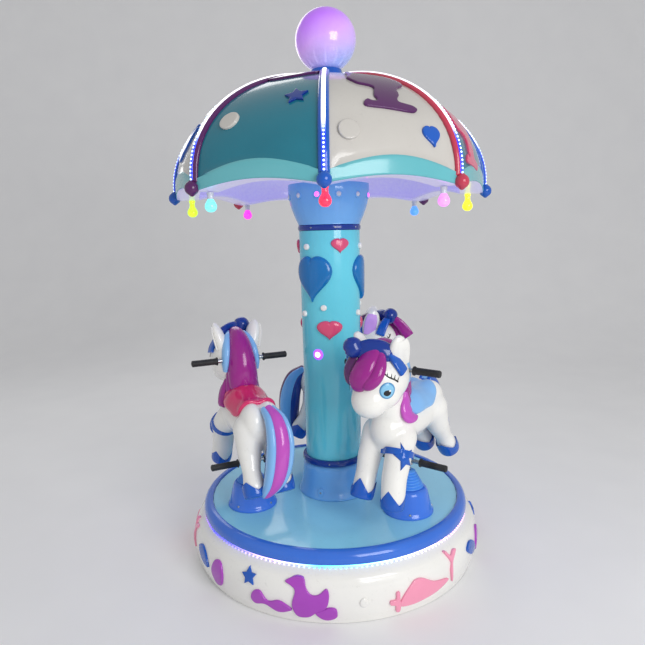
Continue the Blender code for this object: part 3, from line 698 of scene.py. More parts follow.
def base_figure(name, material, pieces):
    """One figure of several outlines at angle and height, and its copies round the base."""
    bm = bmesh.new()
    for step, (outline, angle, height) in enumerate(pieces):
        plate_into(bm, outline, on_base(angle, height), 0.0080 + LAYER * step, 0.0032)
    repeated(name, bm, REPEATS, material, "base", "white_gelcoat")


DUCK_PURPLE = gelcoat("orchid_purple_gelcoat", "b44cc4", "a03cb4")
WHALE_PINK = gelcoat("baby_pink_gelcoat", "f6a3bd", "ef8fae")
base_figure("base_ducks", DUCK_PURPLE, ((drawn(DUCK), -99, 0.125), (drawn(TOY_SPOON), -112, 0.074),
                                        (drawn(TOY_FOOT), -92, 0.056)))
base_figure("base_whales", WHALE_PINK, ((drawn(WHALE), -59, 0.092), (drawn(WHALE_TAIL), -44.5, 0.130),
                                        (drawn(WHALE_NOSE), -68.5, 0.074)))
base_figure("base_stars", BLUE, ((moved(star(0.036), 0, 0, 0.12), -120, 0.152),))
base_figure("base_pears", DUCK_PURPLE, ((drawn(TOY_PEAR), -136, 0.100),))
base_figure("base_leaves", BLUE, ((drawn(TOY_LEAF), -147.5, 0.112),))
bm = bmesh.new()
puff_into(bm, ellipse(0.034, 0.038), on_base(-80, 0.096), 0.008)
repeated("base_buttons", bm, REPEATS, WHITE, "base", "white_gelcoat")
print("figures on the base, each", REPEATS, "times")

# %% [markdown]
# Small lights sit in a row on the shoulder of the base, just outside the platform's rim. On the real ride a
# controller runs colours along them, so at one moment they are blue on one side, white and cyan in the
# middle and pink on the other. The dots are one small dome that the axis tree repeats, and their colour is
# a ramp over the angle, which a radial gradient gives.

# %% Lights on the shoulder of the base
LIGHT_COUNT = 190
LIGHT_RADIUS = 0.0034
LIGHT_CIRCLE = 0.6170


def chasing_light():
    material, tree, shader = new_material("chasing_led_lens")
    spot = add(tree, "ShaderNodeTexCoord").outputs["Object"]
    turn = add(tree, "ShaderNodeTexGradient", {"Vector": spot}, gradient_type="RADIAL")
    glow_along(tree, shader, turn.outputs["Fac"], (
        (0, "ff9ad8"), (0.09, "3d3dff"), (0.14, "8a7dff"), (0.19, "f0c8f6"), (0.235, "58d8ff"),
        (0.28, "8ff0ff"), (0.34, "f3e6f8"), (0.42, "ffb0e0"), (0.55, "4a6cff"), (0.7, "7ff0e0"),
        (0.85, "ff8ad0"), (1, "3a48ff")), 2.4, 0.2)
    return material


def cap_item(radius, rise, skirt, arc, steps, place):
    """A round cap that looks along +Z of its place, with a skirt that sinks into what carries it."""
    line = [(radius * math.sin(a), radius * rise * math.cos(a)) for a in arc]
    bm = bmesh.new()
    turn_into(bm, line + [(radius, -radius * skirt), (0.0, -radius * skirt)], steps, place=place)
    return finish_mesh(bm, "cap_item", [])


def dome_item(radius, place, steps=10):
    return cap_item(radius, 0.8, 0.4, (0, 0.45, 0.9, 1.3, math.pi / 2), steps, place)


shoulder = Matrix.Translation((LIGHT_CIRCLE, 0, 0.2110)) @ Matrix.Rotation(math.radians(35), 4, "Y")
CHASE = chasing_light()
lights = around("shoulder_lights", dome_item(LIGHT_RADIUS, shoulder), LIGHT_COUNT, CHASE)
settle(lights, "base", "led_strip")
paint_solid(CHASE, "base_led_strip")
paint_solid(STEEL, "turntable_bearing", "column_mast", "canopy_hub")
print(LIGHT_COUNT, "lights, one each", round(2000 * math.pi * LIGHT_CIRCLE / LIGHT_COUNT, 1), "mm")

# %% [markdown]
# The deck stays the solid that it is, a flat disc with a bore for each post, and only gets its paint. Shoes
# have dulled it, so it has more wear than the rest. The rim is a rounded tyre of moulding round it, with a
# small step where it meets the deck.

# %% Platform
paint_solid(DECK, "platform_deck")
RIM_BOTTOM = 0.222
rim_profile = fillet([
    (DECK_RADIUS + SEAT_GAP, DECK_TOP - 0.004), (DECK_RADIUS + SEAT_GAP, DECK_TOP + 0.004),
    (DECK_RADIUS + 0.006, DECK_TOP + 0.010), (RIM_RADIUS - 0.016, DECK_TOP + 0.007),
    (RIM_RADIUS - 0.003, DECK_TOP - 0.010), (RIM_RADIUS, RIM_BOTTOM + 0.014),
    (RIM_RADIUS - 0.001, RIM_BOTTOM + 0.002), (RIM_RADIUS - 0.006, RIM_BOTTOM),
    (DECK_RADIUS + SEAT_GAP, RIM_BOTTOM)], 0.012, 5)
rim = turned("platform_rim_moulding", rim_profile, PERIWINKLE, steps=192, closed=True)
settle(rim, "turntable", "blue_gelcoat", "platform_rim")
print("rim", round(2 * RIM_RADIUS, 3), "m across")

# %% [markdown]
# The column is a stack of turned mouldings: a flared blue collar, a dark band, the long aqua shaft, a
# second dark band and the capital. The collar has four small tabs low down, each with a screw through it.
# The bands are held with small pan-head screws too.

# %% Column foot, bands and shaft
COLLAR_TOP = 0.4192
collar = fillet([(0.0, COLLAR_TOP), (0.144, COLLAR_TOP), (0.148, DECK_TOP + 0.100), (0.156, DECK_TOP + 0.045),
                 (0.168, DECK_TOP + 0.010), (0.168, DECK_TOP + SEAT_GAP), (0.0, DECK_TOP + SEAT_GAP)],
                0.030, 8)
settle(turned("column_collar", collar, SKY), "turntable", "sky_gelcoat", "column_foot")
BAND_PROUD, BAND_BEVEL = 0.004, 0.006
for name, low, high, radius, node in (
        ("column_low_band", COLLAR_TOP + SEAT_GAP, 0.4467, 0.144, "column_foot_band"),
        ("column_high_band", 1.496, 1.5217, 0.139, "column_top_band")):
    line = fillet([(0.0, high), (radius, high), (radius + BAND_PROUD, high - BAND_BEVEL),
                   (radius + BAND_PROUD, low + BAND_BEVEL), (radius, low), (0.0, low)], 0.004)
    settle(turned(name, line, NAVY), "turntable", "navy_gelcoat", node)
shaft_line = [(0.0, SHAFT_HIGH), (SHAFT_RADIUS[1], SHAFT_HIGH), (SHAFT_RADIUS[0], SHAFT_LOW),
              (0.0, SHAFT_LOW)]
settle(turned("column_tube", shaft_line, COLUMN_AQUA, steps=128), "turntable", "aqua_gelcoat", "column_shaft")


def screw_item(radius, place):
    """The head of a pan-head screw."""
    return cap_item(radius, 0.55, 0.3, (0, 0.5, 1.0, math.pi / 2), 14, place)


def facing_out(radius, height):
    return Matrix.Translation((radius, 0, height)) @ Matrix.Rotation(math.pi / 2, 4, "Y")


for name, count, radius, height, first in (("low_band_screws", 6, 0.1475, 0.433, 0.4),
                                           ("high_band_screws", 8, 0.1425, 1.509, 0.2)):
    item = screw_item(0.0042, facing_out(radius, height))
    settle(around(name, item, count, STEEL, first), "turntable", "steel")

TABS, TAB_HEIGHT, TAB_TURN = 4, DECK_TOP + 0.036, math.radians(-112)
TAB_RADIUS, COLLAR_SLOPE = 0.161, 0.12


def on_collar(x, y, out):
    return Vector((TAB_RADIUS + out - y * COLLAR_SLOPE, x, TAB_HEIGHT + y))


bm = bmesh.new()
plate_into(bm, ellipse(0.030, 0.042), on_collar, 0.004, 0.0015)
repeated("collar_tabs", bm, TABS, SKY, "turntable", "sky_gelcoat", TAB_TURN)
item = screw_item(0.0050, facing_out(0.1652, TAB_HEIGHT))
settle(around("collar_screws", item, TABS, STEEL, TAB_TURN), "turntable", "steel")
print("column from", round(DECK_TOP, 3), "to", round(CAPITAL_HIGH, 3))

# %% [markdown]
# The shaft carries raised hearts and balls, and one violet lamp low down. The big hearts are two leaning
# lobes, so a puff over a heart outline follows them, and its place function wraps it round the shaft. The
# same pattern comes round three times, like the figures on the base.

# %% Hearts, balls and lamps on the column
def on_column(angle, height):
    def place(x, y, out):
        z = height + y
        share = (z - SHAFT_LOW) / (SHAFT_HIGH - SHAFT_LOW)
        radius = SHAFT_RADIUS[0] + share * (SHAFT_RADIUS[1] - SHAFT_RADIUS[0])
        turn = math.radians(angle) + x / radius
        return Vector(((radius + out) * math.cos(turn), (radius + out) * math.sin(turn), z))
    return place


def column_reliefs(name, material, spots):
    """Each spot is an outline with its angle, height and thickness."""
    bm = bmesh.new()
    for outline, angle, height, thickness in spots:
        puff_into(bm, outline, on_column(angle, height), thickness)
    repeated(name, bm, REPEATS, material, "turntable", "aqua_gelcoat")


column_reliefs("column_big_hearts", HEART_BLUE, ((heart(0.188, 0.205), -124, 1.283, 0.021),))
column_reliefs("column_small_hearts", PINK, ((heart(0.082, 0.066), -70, 1.428, 0.013),
                                             (heart(0.116, 0.088), -92, 1.055, 0.016)))
column_reliefs("column_balls", WHITE, [(ellipse(0.028, 0.028, 20), angle, height, 0.012)
                                       for angle, height in ((-135, 1.426), (-102, 1.157), (-27, 1.126))])
column_reliefs("column_lamp_rings", VIOLET_LIGHT, ((ellipse(0.050, 0.050, 28), -116, 0.945, 0.005),))
column_reliefs("column_lamps", WHITE_LIGHT, ((ellipse(0.026, 0.026, 20), -116, 0.945, 0.010),))
print("column reliefs repeat", REPEATS, "times")

# %% [markdown]
# The capital opens like a flower under the canopy: twelve soft petals side by side with a groove between
# them, and a lamp in a ring near the top of each. One grid of points makes it: the radius follows the
# capital's profile and dips at each groove. A few of the lamps are lit magenta.

# %% Capital
PETALS = 12
CAPITAL_LINE = line_through(((0.1865, CAPITAL_HIGH), (0.186, CAPITAL_HIGH - 0.030), (0.177, 1.612),
                             (0.160, 1.564), (0.143, 1.530), (0.141, CAPITAL_LOW)), 4)
PETAL_STEPS = 12
OPENING_RISE = 0.05         # over this height the round foot turns into petals
FLATNESS = 0.6              # from 0, a round capital, to 1, one of flat sides
GROOVE_DEPTH = 0.022
bm = bmesh.new()
rings = []
for radius, height in CAPITAL_LINE:
    ring = []
    for i, angle in enumerate(full_turn(PETALS * PETAL_STEPS)):
        beside = abs((i % PETAL_STEPS) / PETAL_STEPS - 0.5) * 2
        flat = math.cos(math.pi / PETALS) / math.cos((1 - beside) * math.pi / PETALS)
        opening = min(1.0, (height - CAPITAL_LOW) / OPENING_RISE)
        groove = GROOVE_DEPTH * opening * (1 - beside) ** 5
        reach = radius * (1 - opening * FLATNESS * (1 - flat)) * (1 - groove)
        ring.append(bm.verts.new((reach * math.cos(angle), reach * math.sin(angle), height)))
    rings.append(ring)
bridge(bm, rings)
bm.faces.new(rings[0])
bm.faces.new(rings[-1][::-1])
settle(finish_mesh(bm, "capital_petals", [SKY]), "turntable", "sky_gelcoat", "column_capital")

LAMP_HEIGHT = 1.648
LAMP_RING, LAMP_RING_WIRE = 0.0135, 0.0035
ring_line = [(LAMP_RING + LAMP_RING_WIRE * math.cos(a), -LAMP_RING_WIRE * math.sin(a)) for a in full_turn(10)]
bm = bmesh.new()
turn_into(bm, ring_line, 24, closed=True, place=facing_out(0.180, LAMP_HEIGHT))
repeated("capital_lamp_rings", bm, PETALS, SKY, "turntable", "sky_gelcoat", math.radians(15))
for name, first, material in (("capital_lamps_lit", -105, MAGENTA_LIGHT), ("capital_lamps_a", -75, SOCKET),
                              ("capital_lamps_b", -45, SOCKET)):
    item = dome_item(0.0115, facing_out(0.179, LAMP_HEIGHT), 20)
    settle(around(name, item, PETALS // 3, material, math.radians(first)), "turntable", "sky_gelcoat")
item = screw_item(0.0036, facing_out(0.1795, 1.682))
settle(around("capital_screws", item, PETALS, STEEL), "turntable", "steel")
print("capital with", PETALS, "petals")

# %% [markdown]
# The canopy is the ride's crown: eight moulded panels, pale grey and teal by turns, bolted along eight
# ribs, with a seafoam border whose upper edge arches over each panel, and a lip that turns in under the
# hem. It follows a rule, so code lays out its points: down the meridian from the crown, over the small step
# of the border, round the lip and back up inside. That makes one closed shell with real thickness, and each
# face knows which paint it wears.

# %% Canopy panels
PANEL_COLUMNS = 20
PANEL_ROWS, BORDER_ROWS, LINING_ROWS = 26, 6, 16
WALL = 0.010
SKIN_INSET = 0.002                          # how far the panels lie inside the line that the ribs follow
BORDER_LOW, BORDER_ARCH = 1.686, 0.055      # height of the border's upper edge at a rib, and its rise
BORDER_STEP = 0.006
STEP_SPAN = (-0.004, 0.002, 0.012)          # down the skin from the border's edge: foot, slope and head
BORDER_AIM = 1.9                            # the border's rows run towards this, just above the hem at 2


def meridian(t, offset=0.0):
    """Radius and height on a rib: t is 0 at the crown and 1 where the wall stands upright."""
    angle = t * math.pi / 2
    height = CANOPY_SPRING + (CANOPY_RISE + offset) * math.cos(angle)
    return (CANOPY_RADIUS + offset) * math.sin(angle), height


def across_panel(turn, share, radius, height):
    """A point of a panel, which runs flatter than a circle from its first rib, at turn, to the next."""
    radius *= 1 - (1 - PANEL_MID) * math.sin(math.pi * share)
    angle = turn + share * PANEL_TURN
    return Vector((radius * math.cos(angle), radius * math.sin(angle), height))


def hem_height(share):
    return HEM + HEM_ARCH * math.sin(math.pi * share)


def canopy_point(turn, share, t, offset):
    """A point of the skin, at a share from 0 to 1 across the panel."""
    if t <= 1:
        return across_panel(turn, share, *meridian(t, offset))
    height = CANOPY_SPRING + (t - 1) * (hem_height(share) - CANOPY_SPRING)
    return across_panel(turn, share, CANOPY_RADIUS + offset, height)


def border_t(share):
    """Where the border's upper edge lies, on the scale that meridian and canopy_point use."""
    height = BORDER_LOW + BORDER_ARCH * math.sin(math.pi * share)
    if height > CANOPY_SPRING:
        return math.acos((height - CANOPY_SPRING) / CANOPY_RISE) * 2 / math.pi
    return 1 + (CANOPY_SPRING - height) / (CANOPY_SPRING - hem_height(share))


def canopy_column(turn, share):
    """The points of one line down the canopy, each with the paint of the strip that follows it."""
    edge, hem, proud = border_t(share), hem_height(share), BORDER_STEP - SKIN_INSET
    skin = [(edge * i / PANEL_ROWS, -SKIN_INSET, "panel") for i in range(PANEL_ROWS)]
    foot, slope, head = (edge + span for span in STEP_SPAN)
    skin += [(foot, -SKIN_INSET, "step"), (slope, BORDER_STEP * 0.4, "step")]
    skin += [(head + (BORDER_AIM - edge) * i / BORDER_ROWS, proud, "border") for i in range(BORDER_ROWS)]
    rest = [(CANOPY_RADIUS + proud, hem + 0.004), (CANOPY_RADIUS, hem), (CANOPY_RADIUS - 0.03, hem),
            (LIP_RADIUS, hem), (LIP_RADIUS - 0.002, hem + 0.005), (LIP_RADIUS, hem + WALL),
            (CANOPY_RADIUS - WALL, hem + WALL)]
    rest += [meridian(1 - i / LINING_ROWS, -WALL) for i in range(LINING_ROWS + 1)]
    line = [(canopy_point(turn, share, t, offset), paint) for t, offset, paint in skin]
    line += [(across_panel(turn, share, *spot), "lining" if i else "border") for i, spot in enumerate(rest)]
    return line


# The lining under the canopy is no lamp: its pale lilac colour and its glow are painted light, standing for
# the light of the bulbs that falls on it.
PAINTED_LAMPLIGHT_LINING = lit_plastic("lining_painted_lamplight", "cfcdee", "bcb6e2", 0.30, roughness=0.3)


def canopy_panels():
    bm = bmesh.new()
    lines = []
    for panel in range(RIBS):
        turn = FRONT_RIB + panel * PANEL_TURN
        for step in range(PANEL_COLUMNS):
            points = canopy_column(turn, step / PANEL_COLUMNS)
            lines.append(([bm.verts.new(point) for point, _ in points], [paint for _, paint in points]))
    paints = {"border": 2, "step": 2, "lining": 3}
    for number, (left, names) in enumerate(lines):
        right = lines[(number + 1) % len(lines)][0]
        panel = number // PANEL_COLUMNS
        for i in range(len(left) - 1):
            face = bm.faces.new((left[i], left[i + 1], right[i + 1], right[i]))
            face.material_index = paints.get(names[i], panel % 2)
    bmesh.ops.dissolve_degenerate(bm, edges=bm.edges, dist=0.00005)
    return finish_mesh(bm, "canopy_panels", [PALE, TEAL, SEAFOAM, PAINTED_LAMPLIGHT_LINING], crease=50)


settle(canopy_panels(), "turntable", "aqua_gelcoat", "canopy_shell")
print("canopy", round(2 * CANOPY_RADIUS, 2), "m across its ribs")

# %% [markdown]
# A rib is a half-round bar that covers the joint between two panels. One is swept along the meridian at
# angle 0 and the axis tree makes the rest: four blue ones, two plum and two crimson. Under each rib's foot
# hangs a ball. Along its crest runs a strip of small lights under a clear cover: close together they melt
# into a white line near the top, and lower down they are blue dots.

# %% Ribs, balls and light strips
RIB_HALF_WIDTH = 0.020
RIB_HEIGHT = 0.012
RIB_ROWS = 34
RIB_ROOT = 0.006            # how deep a bar reaches into the panels
END_HEIGHT, END_STEP = 0.55, 0.25       # shares of its height: at its ends, and gained with each row
WHITE_END = 1.835           # height where the strip changes from white to blue


def rib_line(t, offset):
    """A point on the crest line at angle 0, also below the spring line."""
    radius, height = meridian(min(t, 1.0), offset)
    return Vector((radius, 0.0, height - max(0.0, t - 1.0) * (CANOPY_SPRING - HEM)))


def bar_into(bm, half_width, low, high, first, last, crown=1.0):
    """A bar along the rib line, with a rounded back and ends that taper. A small crown makes it flatter."""
    section = [(half_width * math.cos(a), low + (high - low) * math.sin(a) ** crown)
               for a in full_turn(24)[:13]]
    rings = []
    for row in range(RIB_ROWS):
        t = first + (last - first) * row / (RIB_ROWS - 1)
        taper = min(1.0, END_HEIGHT + row * END_STEP, END_HEIGHT + (RIB_ROWS - 1 - row) * END_STEP)
        ring = []
        for y, out in section:
            point = rib_line(t, low + (out - low) * taper)
            point.y = y
            ring.append(bm.verts.new(point))
        ring += [bm.verts.new(rib_line(t, low - RIB_ROOT) + Vector((0, y, 0))) for y in
                 (-half_width * 0.9, half_width * 0.9)]
        rings.append(ring)
    bridge(bm, rings)
    bm.faces.new(rings[0])
    bm.faces.new(rings[-1][::-1])


BALL = ((0.0, 0.030), (0.008, 0.029), (0.012, 0.025), (0.020, 0.019), (0.0255, 0.010), (0.027, 0.0),
        (0.0255, -0.010), (0.020, -0.018), (0.011, -0.0245), (0.006, -0.029), (0.0, -0.031))
for colour, material, first, count, nodes in (
        ("blue", BLUE, -90, 4, ["canopy_ribs"]), ("plum", PURPLE, -135, 2, []),
        ("crimson", CRIMSON, -45, 2, [])):
    bm = bmesh.new()
    bar_into(bm, RIB_HALF_WIDTH, -0.001, RIB_HEIGHT, 0.03, 1.40)
    turn_into(bm, BALL, 28, place=Matrix.Translation(BOSS))
    rib = finish_mesh(bm, "rib_item", [])
    ribs = around(f"canopy_ribs_{colour}", rib, count, material, math.radians(first))
    settle(ribs, "turntable", "blue_gelcoat", *nodes)


def strip_cover():
    """Clear cover over the lights: white above, blue below, with a soft change between."""
    material, tree, shader = new_material("led_strip_cover")
    spot = add(tree, "ShaderNodeTexCoord").outputs["Object"]
    height = add(tree, "ShaderNodeSeparateXYZ", {0: spot}).outputs["Z"]
    glow = add(tree, "ShaderNodeTexNoise", {"Vector": spot, "Scale": per_mm(30), "Detail": 1.0})
    where = add(tree, "ShaderNodeMath", {0: glow.outputs["Fac"], 1: 0.03, 2: height},
                operation="MULTIPLY_ADD")
    share = add(tree, "ShaderNodeMapRange", {"Value": where.outputs[0], "From Min": WHITE_END - 0.01,
                                             "From Max": WHITE_END + 0.05})
    colours = ((0, "1e33e6"), (0.4, "6a7cf5"), (1, "f4f0ff"))
    glow_along(tree, shader, share.outputs["Result"], colours, 1.3, 0.15)
    return material


bm = bmesh.new()
bar_into(bm, 0.0078, RIB_HEIGHT - 0.002, RIB_HEIGHT + 0.003, 0.06, 1.25, crown=0.5)
repeated("canopy_light_strips", bm, RIBS, strip_cover(), "turntable", "led_strip", FRONT_RIB)

DOT_SPACING = 0.014
DOTS_FROM, DOTS_TO = 0.62, 1.20     # on the scale of the rib line
STRIP_POINTS = 60
path = bpy.data.curves.new("strip_path", "CURVE")
path.dimensions = "3D"
spline = path.splines.new("POLY")
spline.points.add(STRIP_POINTS - 1)
for i, point in enumerate(spline.points):
    t = DOTS_FROM + (DOTS_TO - DOTS_FROM) * i / (STRIP_POINTS - 1)
    point.co = (*rib_line(t, RIB_HEIGHT + 0.0025), 1.0)
path_object = bpy.data.objects.new("strip_path", path)
bpy.context.scene.collection.objects.link(path_object)
dot = dome_item(0.0042, Matrix.Identity(4))
dots = baked("strip_dots_row", ALONG, {"Line": path_object, "Item": dot, "Spacing": DOT_SPACING,
                                       "Side": (0.0, 1.0, 0.0), "Material": DOT_LIGHT}, [path_object, dot])
settle(around("canopy_light_dots", dots, RIBS, DOT_LIGHT, FRONT_RIB), "turntable", "led_strip")
print("ribs, balls and strips made")

# %% [markdown]
# The panels carry raised toys in bright colours: a rocking horse, a star, buttons, hearts. Each panel has
# its own set, and the set returns on the far side. A place function walks over the canopy's skin from a
# panel, a share across it and a place down it.

# %% Figures on the canopy
ROCKING_HORSE = ((-78, -8), (-86, 24), (-68, 58), (-62, 100), (-46, 122), (-26, 98), (4, 98), (36, 92),
                 (72, 84), (104, 62), (128, 28), (136, -22), (114, -46), (96, -62), (84, -84), (82, -104),
                 (76, -128), (62, -150), (62, -172), (90, -184), (114, -194), (126, -214), (112, -231),
                 (84, -231), (42, -224), (-10, -216), (-60, -212), (-86, -204), (-84, -182), (-66, -164),
                 (-52, -172), (-34, -174), (-26, -160), (-30, -139), (-24, -113), (-10, -76), (-18, -56),
                 (-42, -44), (-64, -34))


SUNK = 0.004                # the most that a figure's back reaches into the wall, so it ends inside it


def on_canopy(panel, share, t):
    """A place on the skin: across runs along the panel, and up runs towards the crown."""
    turn = FRONT_RIB + panel * PANEL_TURN
    along = math.hypot(CANOPY_RADIUS * math.cos(t * math.pi / 2), CANOPY_RISE * math.sin(t * math.pi / 2))

    def place(x, y, out):
        here = t - y / (along * math.pi / 2)
        radius = meridian(here)[0]
        return canopy_point(turn, share + x / (radius * PANEL_TURN), here, max(out, -SUNK) - SKIN_INSET)
    return place


def scaled(outline, wide, tall):
    return [Vector((p.x * wide, p.y * tall)) for p in drawn(outline)]


for name, material, outline, panel, share, t in (
        ("canopy_horses", PURPLE, drawn(ROCKING_HORSE), 0, 0.50, 0.46),
        ("canopy_hearts", BLUE, heart(0.072, 0.084), 0, 0.80, 0.84),
        ("canopy_stars", NAVY, moved(star(0.048), 0, 0, 0.15), 7, 0.77, 0.60),
        ("canopy_whales", PURPLE, scaled(WHALE, 0.86, 1.1), 7, 0.42, 0.30),
        ("canopy_ducks", BLUE, scaled(DUCK, 1.2, 1.2), 6, 0.50, 0.74),
        ("canopy_pink_horses", PINK, scaled(ROCKING_HORSE, 0.80, 0.80), 1, 0.28, 0.74)):
    bm = bmesh.new()
    plate_into(bm, outline, on_canopy(panel, share, t), 0.0090, 0.0034)
    repeated(name, bm, 2, material, "turntable", "aqua_gelcoat")
bm = bmesh.new()
for panel, share, t in ((0, 0.17, 0.82), (7, 0.23, 0.72), (6, 0.80, 0.60), (1, 0.75, 0.50)):
    plate_into(bm, ellipse(0.078, 0.078), on_canopy(panel, share, t), 0.011, 0.005)
repeated("canopy_buttons", bm, 2, PALE, "turntable", "white_gelcoat")
print("toys on", RIBS, "panels")

# %% [markdown]
# A lamp hangs under each rib near the hem: a drop-shaped bulb of coloured plastic in a short holder, which
# is frosted on every second one. Each bulb has its own colour, so they are made one by one. On top of the
# crown a collar carries the globe lamp.

# %% Bulbs, crown and globe
HOLDER = fillet([(0.0, 0.0), (0.0135, 0.0), (0.0135, -0.008), (0.0115, -0.011), (0.0115, -0.020),
                 (0.0125, -0.024), (0.0100, -0.027), (0.0, -0.027)], 0.0012, 2)
DROP = line_through(((0.0098, -0.024), (0.0150, -0.033), (0.0205, -0.043), (0.0230, -0.053), (0.0205, -0.064),
                     (0.0120, -0.0725), (0.0040, -0.0748)), 4)
for i, glass in enumerate(BULB_LIGHTS):
    angle = FRONT_RIB + i * PANEL_TURN
    spot = Matrix.Translation((BULB_CIRCLE * math.cos(angle), BULB_CIRCLE * math.sin(angle), BULB_HIGH))
    bm = bmesh.new()
    turn_into(bm, HOLDER, 28, place=spot)
    turn_into(bm, [(0.0, -0.024)] + DROP + [(0.0, -0.075)], 28, place=spot, slot=1)
    holder_paint = glass if i % 2 == 0 else SOCKET
    settle(finish_mesh(bm, f"bulb_{i + 1}", [holder_paint, glass]), "turntable", "lamp_plastic",
           f"canopy_bulb_{i + 1}")

CROWN_TOP, CROWN_FOOT = GLOBE_LOW - SEAT_GAP, GLOBE_LOW - 0.046
crown_line = fillet([(0.0, CROWN_TOP), (0.069, CROWN_TOP), (0.075, CROWN_FOOT + 0.006), (0.082, CROWN_FOOT),
                     (0.0, CROWN_FOOT)], 0.004)
settle(turned("crown_collar", crown_line, BLUE), "turntable", "blue_gelcoat")
GLOBE_MIDDLE = 2.314
GLOBE_RADIUS = GLOBE_HIGH - GLOBE_MIDDLE
GLOBE_ROWS = 40
low = math.asin((GLOBE_LOW - GLOBE_MIDDLE) / GLOBE_RADIUS)
arc = [low + (math.pi / 2 - low) * i / GLOBE_ROWS for i in range(GLOBE_ROWS + 1)]
globe_line = [(GLOBE_RADIUS * math.cos(a), GLOBE_MIDDLE + GLOBE_RADIUS * math.sin(a)) for a in reversed(arc)]
settle(turned("globe", globe_line + [(0.0, GLOBE_LOW)], GLOBE), "turntable", "lamp_plastic", "globe_lamp")
print("globe", round(2 * GLOBE_RADIUS, 3), "m across")

# %% [markdown]
# Three ponies stand round the column, each on a lifting post. They came out of one mould, so every piece of
# a pony is modelled once in the pony's own frame: +X ahead, +Y away from the column, Z above the deck. Two
# matrices put a pony in its place: one for what stands on the deck, and one for the moulding, which leans
# on its post. The pony nearest to us had stopped higher than the others, with its nose down.

# %% Where the ponies stand
PONIES = 3
PONY_CIRCLE = 0.409
FIRST_PONY = math.radians(323.7)
LIFTS = (0.030, 0.0, 0.0)
LEANS = (math.radians(8), 0.0, 0.0)
TURNS = (0.0, math.radians(3), math.radians(3))
POST_TOP = 0.345
POST_BOTTOM = -0.005
POST_RADIUS = 0.011


def deck_matrix(k):
    angle = FIRST_PONY - k * 2 * math.pi / PONIES
    spot = Vector((PONY_CIRCLE * math.cos(angle), PONY_CIRCLE * math.sin(angle), DECK_TOP))
    return Matrix.Translation(spot) @ Matrix.Rotation(angle + TURNS[k] - math.pi / 2, 4, "Z")


def seat_matrix(k):
    return (deck_matrix(k) @ Matrix.Translation((0, 0, POST_TOP + LIFTS[k]))
            @ Matrix.Rotation(LEANS[k], 4, "Y") @ Matrix.Translation((0, 0, -POST_TOP)))


def twin_of(mesh, name, materials, place):
    """A copy of a mesh from the pony's frame, put in its place."""
    twin = mesh.copy()
    twin.transform(place)
    for material in materials:
        twin.materials.append(material)
    thing = bpy.data.objects.new(name, twin)
    bpy.context.scene.collection.objects.link(thing)
    return thing


def pony_mesh(bm, name, crease=CREASE):
    """Finishes a mesh in the pony's frame, for twins of it to be made."""
    thing = finish_mesh(bm, name, [], crease)
    mesh = thing.data
    bpy.data.objects.remove(thing)
    return mesh


print("first pony at", [round(c, 2) for c in seat_matrix(0).translation])

# %% [markdown]
# A fibreglass pony starts as a clay model, so its form is soft and runs together. Balls, cones and
# ellipsoids in the right places give the masses. A voxel remesh, 4.5 millimetres fine, melts them into one
# skin, and a smoothing pass rounds the joins like a thumb. The masses follow the solids of the frame, with
# cheeks, chest, knees and haunches added.

# %% Pony skin
BARREL = ((-0.142, 0.0, 0.414, 0.089), (-0.030, 0.0, 0.400, 0.091), (0.122, 0.0, 0.413, 0.098))
NECK = ((0.125, 0.0, 0.455, 0.084), (0.140, 0.0, 0.540, 0.070), (0.165, 0.0, 0.610, 0.076))
FRONT_OUTER_LEG = ((0.140, 0.050, 0.375, 0.066), (0.204, 0.070, 0.325, 0.055), (0.238, 0.063, 0.240, 0.052),
                   (0.264, 0.066, 0.168, 0.050))
FRONT_INNER_LEG = ((0.148, -0.055, 0.380, 0.068), (0.200, -0.072, 0.300, 0.051),
                   (0.235, -0.072, 0.235, 0.045), (0.268, -0.072, 0.182, 0.046))
HIND_LEG = ((-0.138, 0.042, 0.398, 0.074), (-0.162, 0.056, 0.310, 0.053), (-0.200, 0.061, 0.235, 0.039),
            (-0.230, 0.062, 0.182, 0.046))
# Head, muzzle, cheeks, chin, chest, brisket, girth and haunches: middle, radii, and tilt in degrees
MASSES = (((0.184, 0.0, 0.650), (0.126, 0.117, 0.114), 0), ((0.262, 0.0, 0.584), (0.080, 0.076, 0.071), 35),
          ((0.212, 0.048, 0.604), (0.078, 0.056, 0.066), 20),
          ((0.212, -0.048, 0.604), (0.078, 0.056, 0.066), 20),
          ((0.266, 0.0, 0.546), (0.046, 0.048, 0.040), 20), ((0.168, 0.0, 0.405), (0.066, 0.074, 0.086), 0),
          ((0.172, 0.0, 0.352), (0.050, 0.066, 0.044), 0), ((0.115, 0.0, 0.385), (0.100, 0.098, 0.082), 0),
          ((-0.150, 0.034, 0.430), (0.078, 0.054, 0.084), 0),
          ((-0.150, -0.034, 0.430), (0.078, 0.054, 0.084), 0))
SKIN_VOXEL = 0.0045
SKIN_PASSES = 34


def mirrored(chain):
    return tuple((point[0], -point[1], *point[2:]) for point in chain)


LEGS = (FRONT_OUTER_LEG, FRONT_INNER_LEG, HIND_LEG, mirrored(HIND_LEG))


def limb_into(bm, points):
    for *middle, radius in points:
        bmesh.ops.create_icosphere(bm, subdivisions=3, radius=radius, matrix=Matrix.Translation(middle))
    for first, second in zip(points, points[1:]):
        a, b = Vector(first[:3]), Vector(second[:3])
        turn = Vector((0, 0, 1)).rotation_difference(b - a).to_matrix().to_4x4()
        bmesh.ops.create_cone(bm, cap_ends=True, segments=28, radius1=first[3], radius2=second[3],
                              depth=(b - a).length, matrix=Matrix.Translation((a + b) / 2) @ turn)


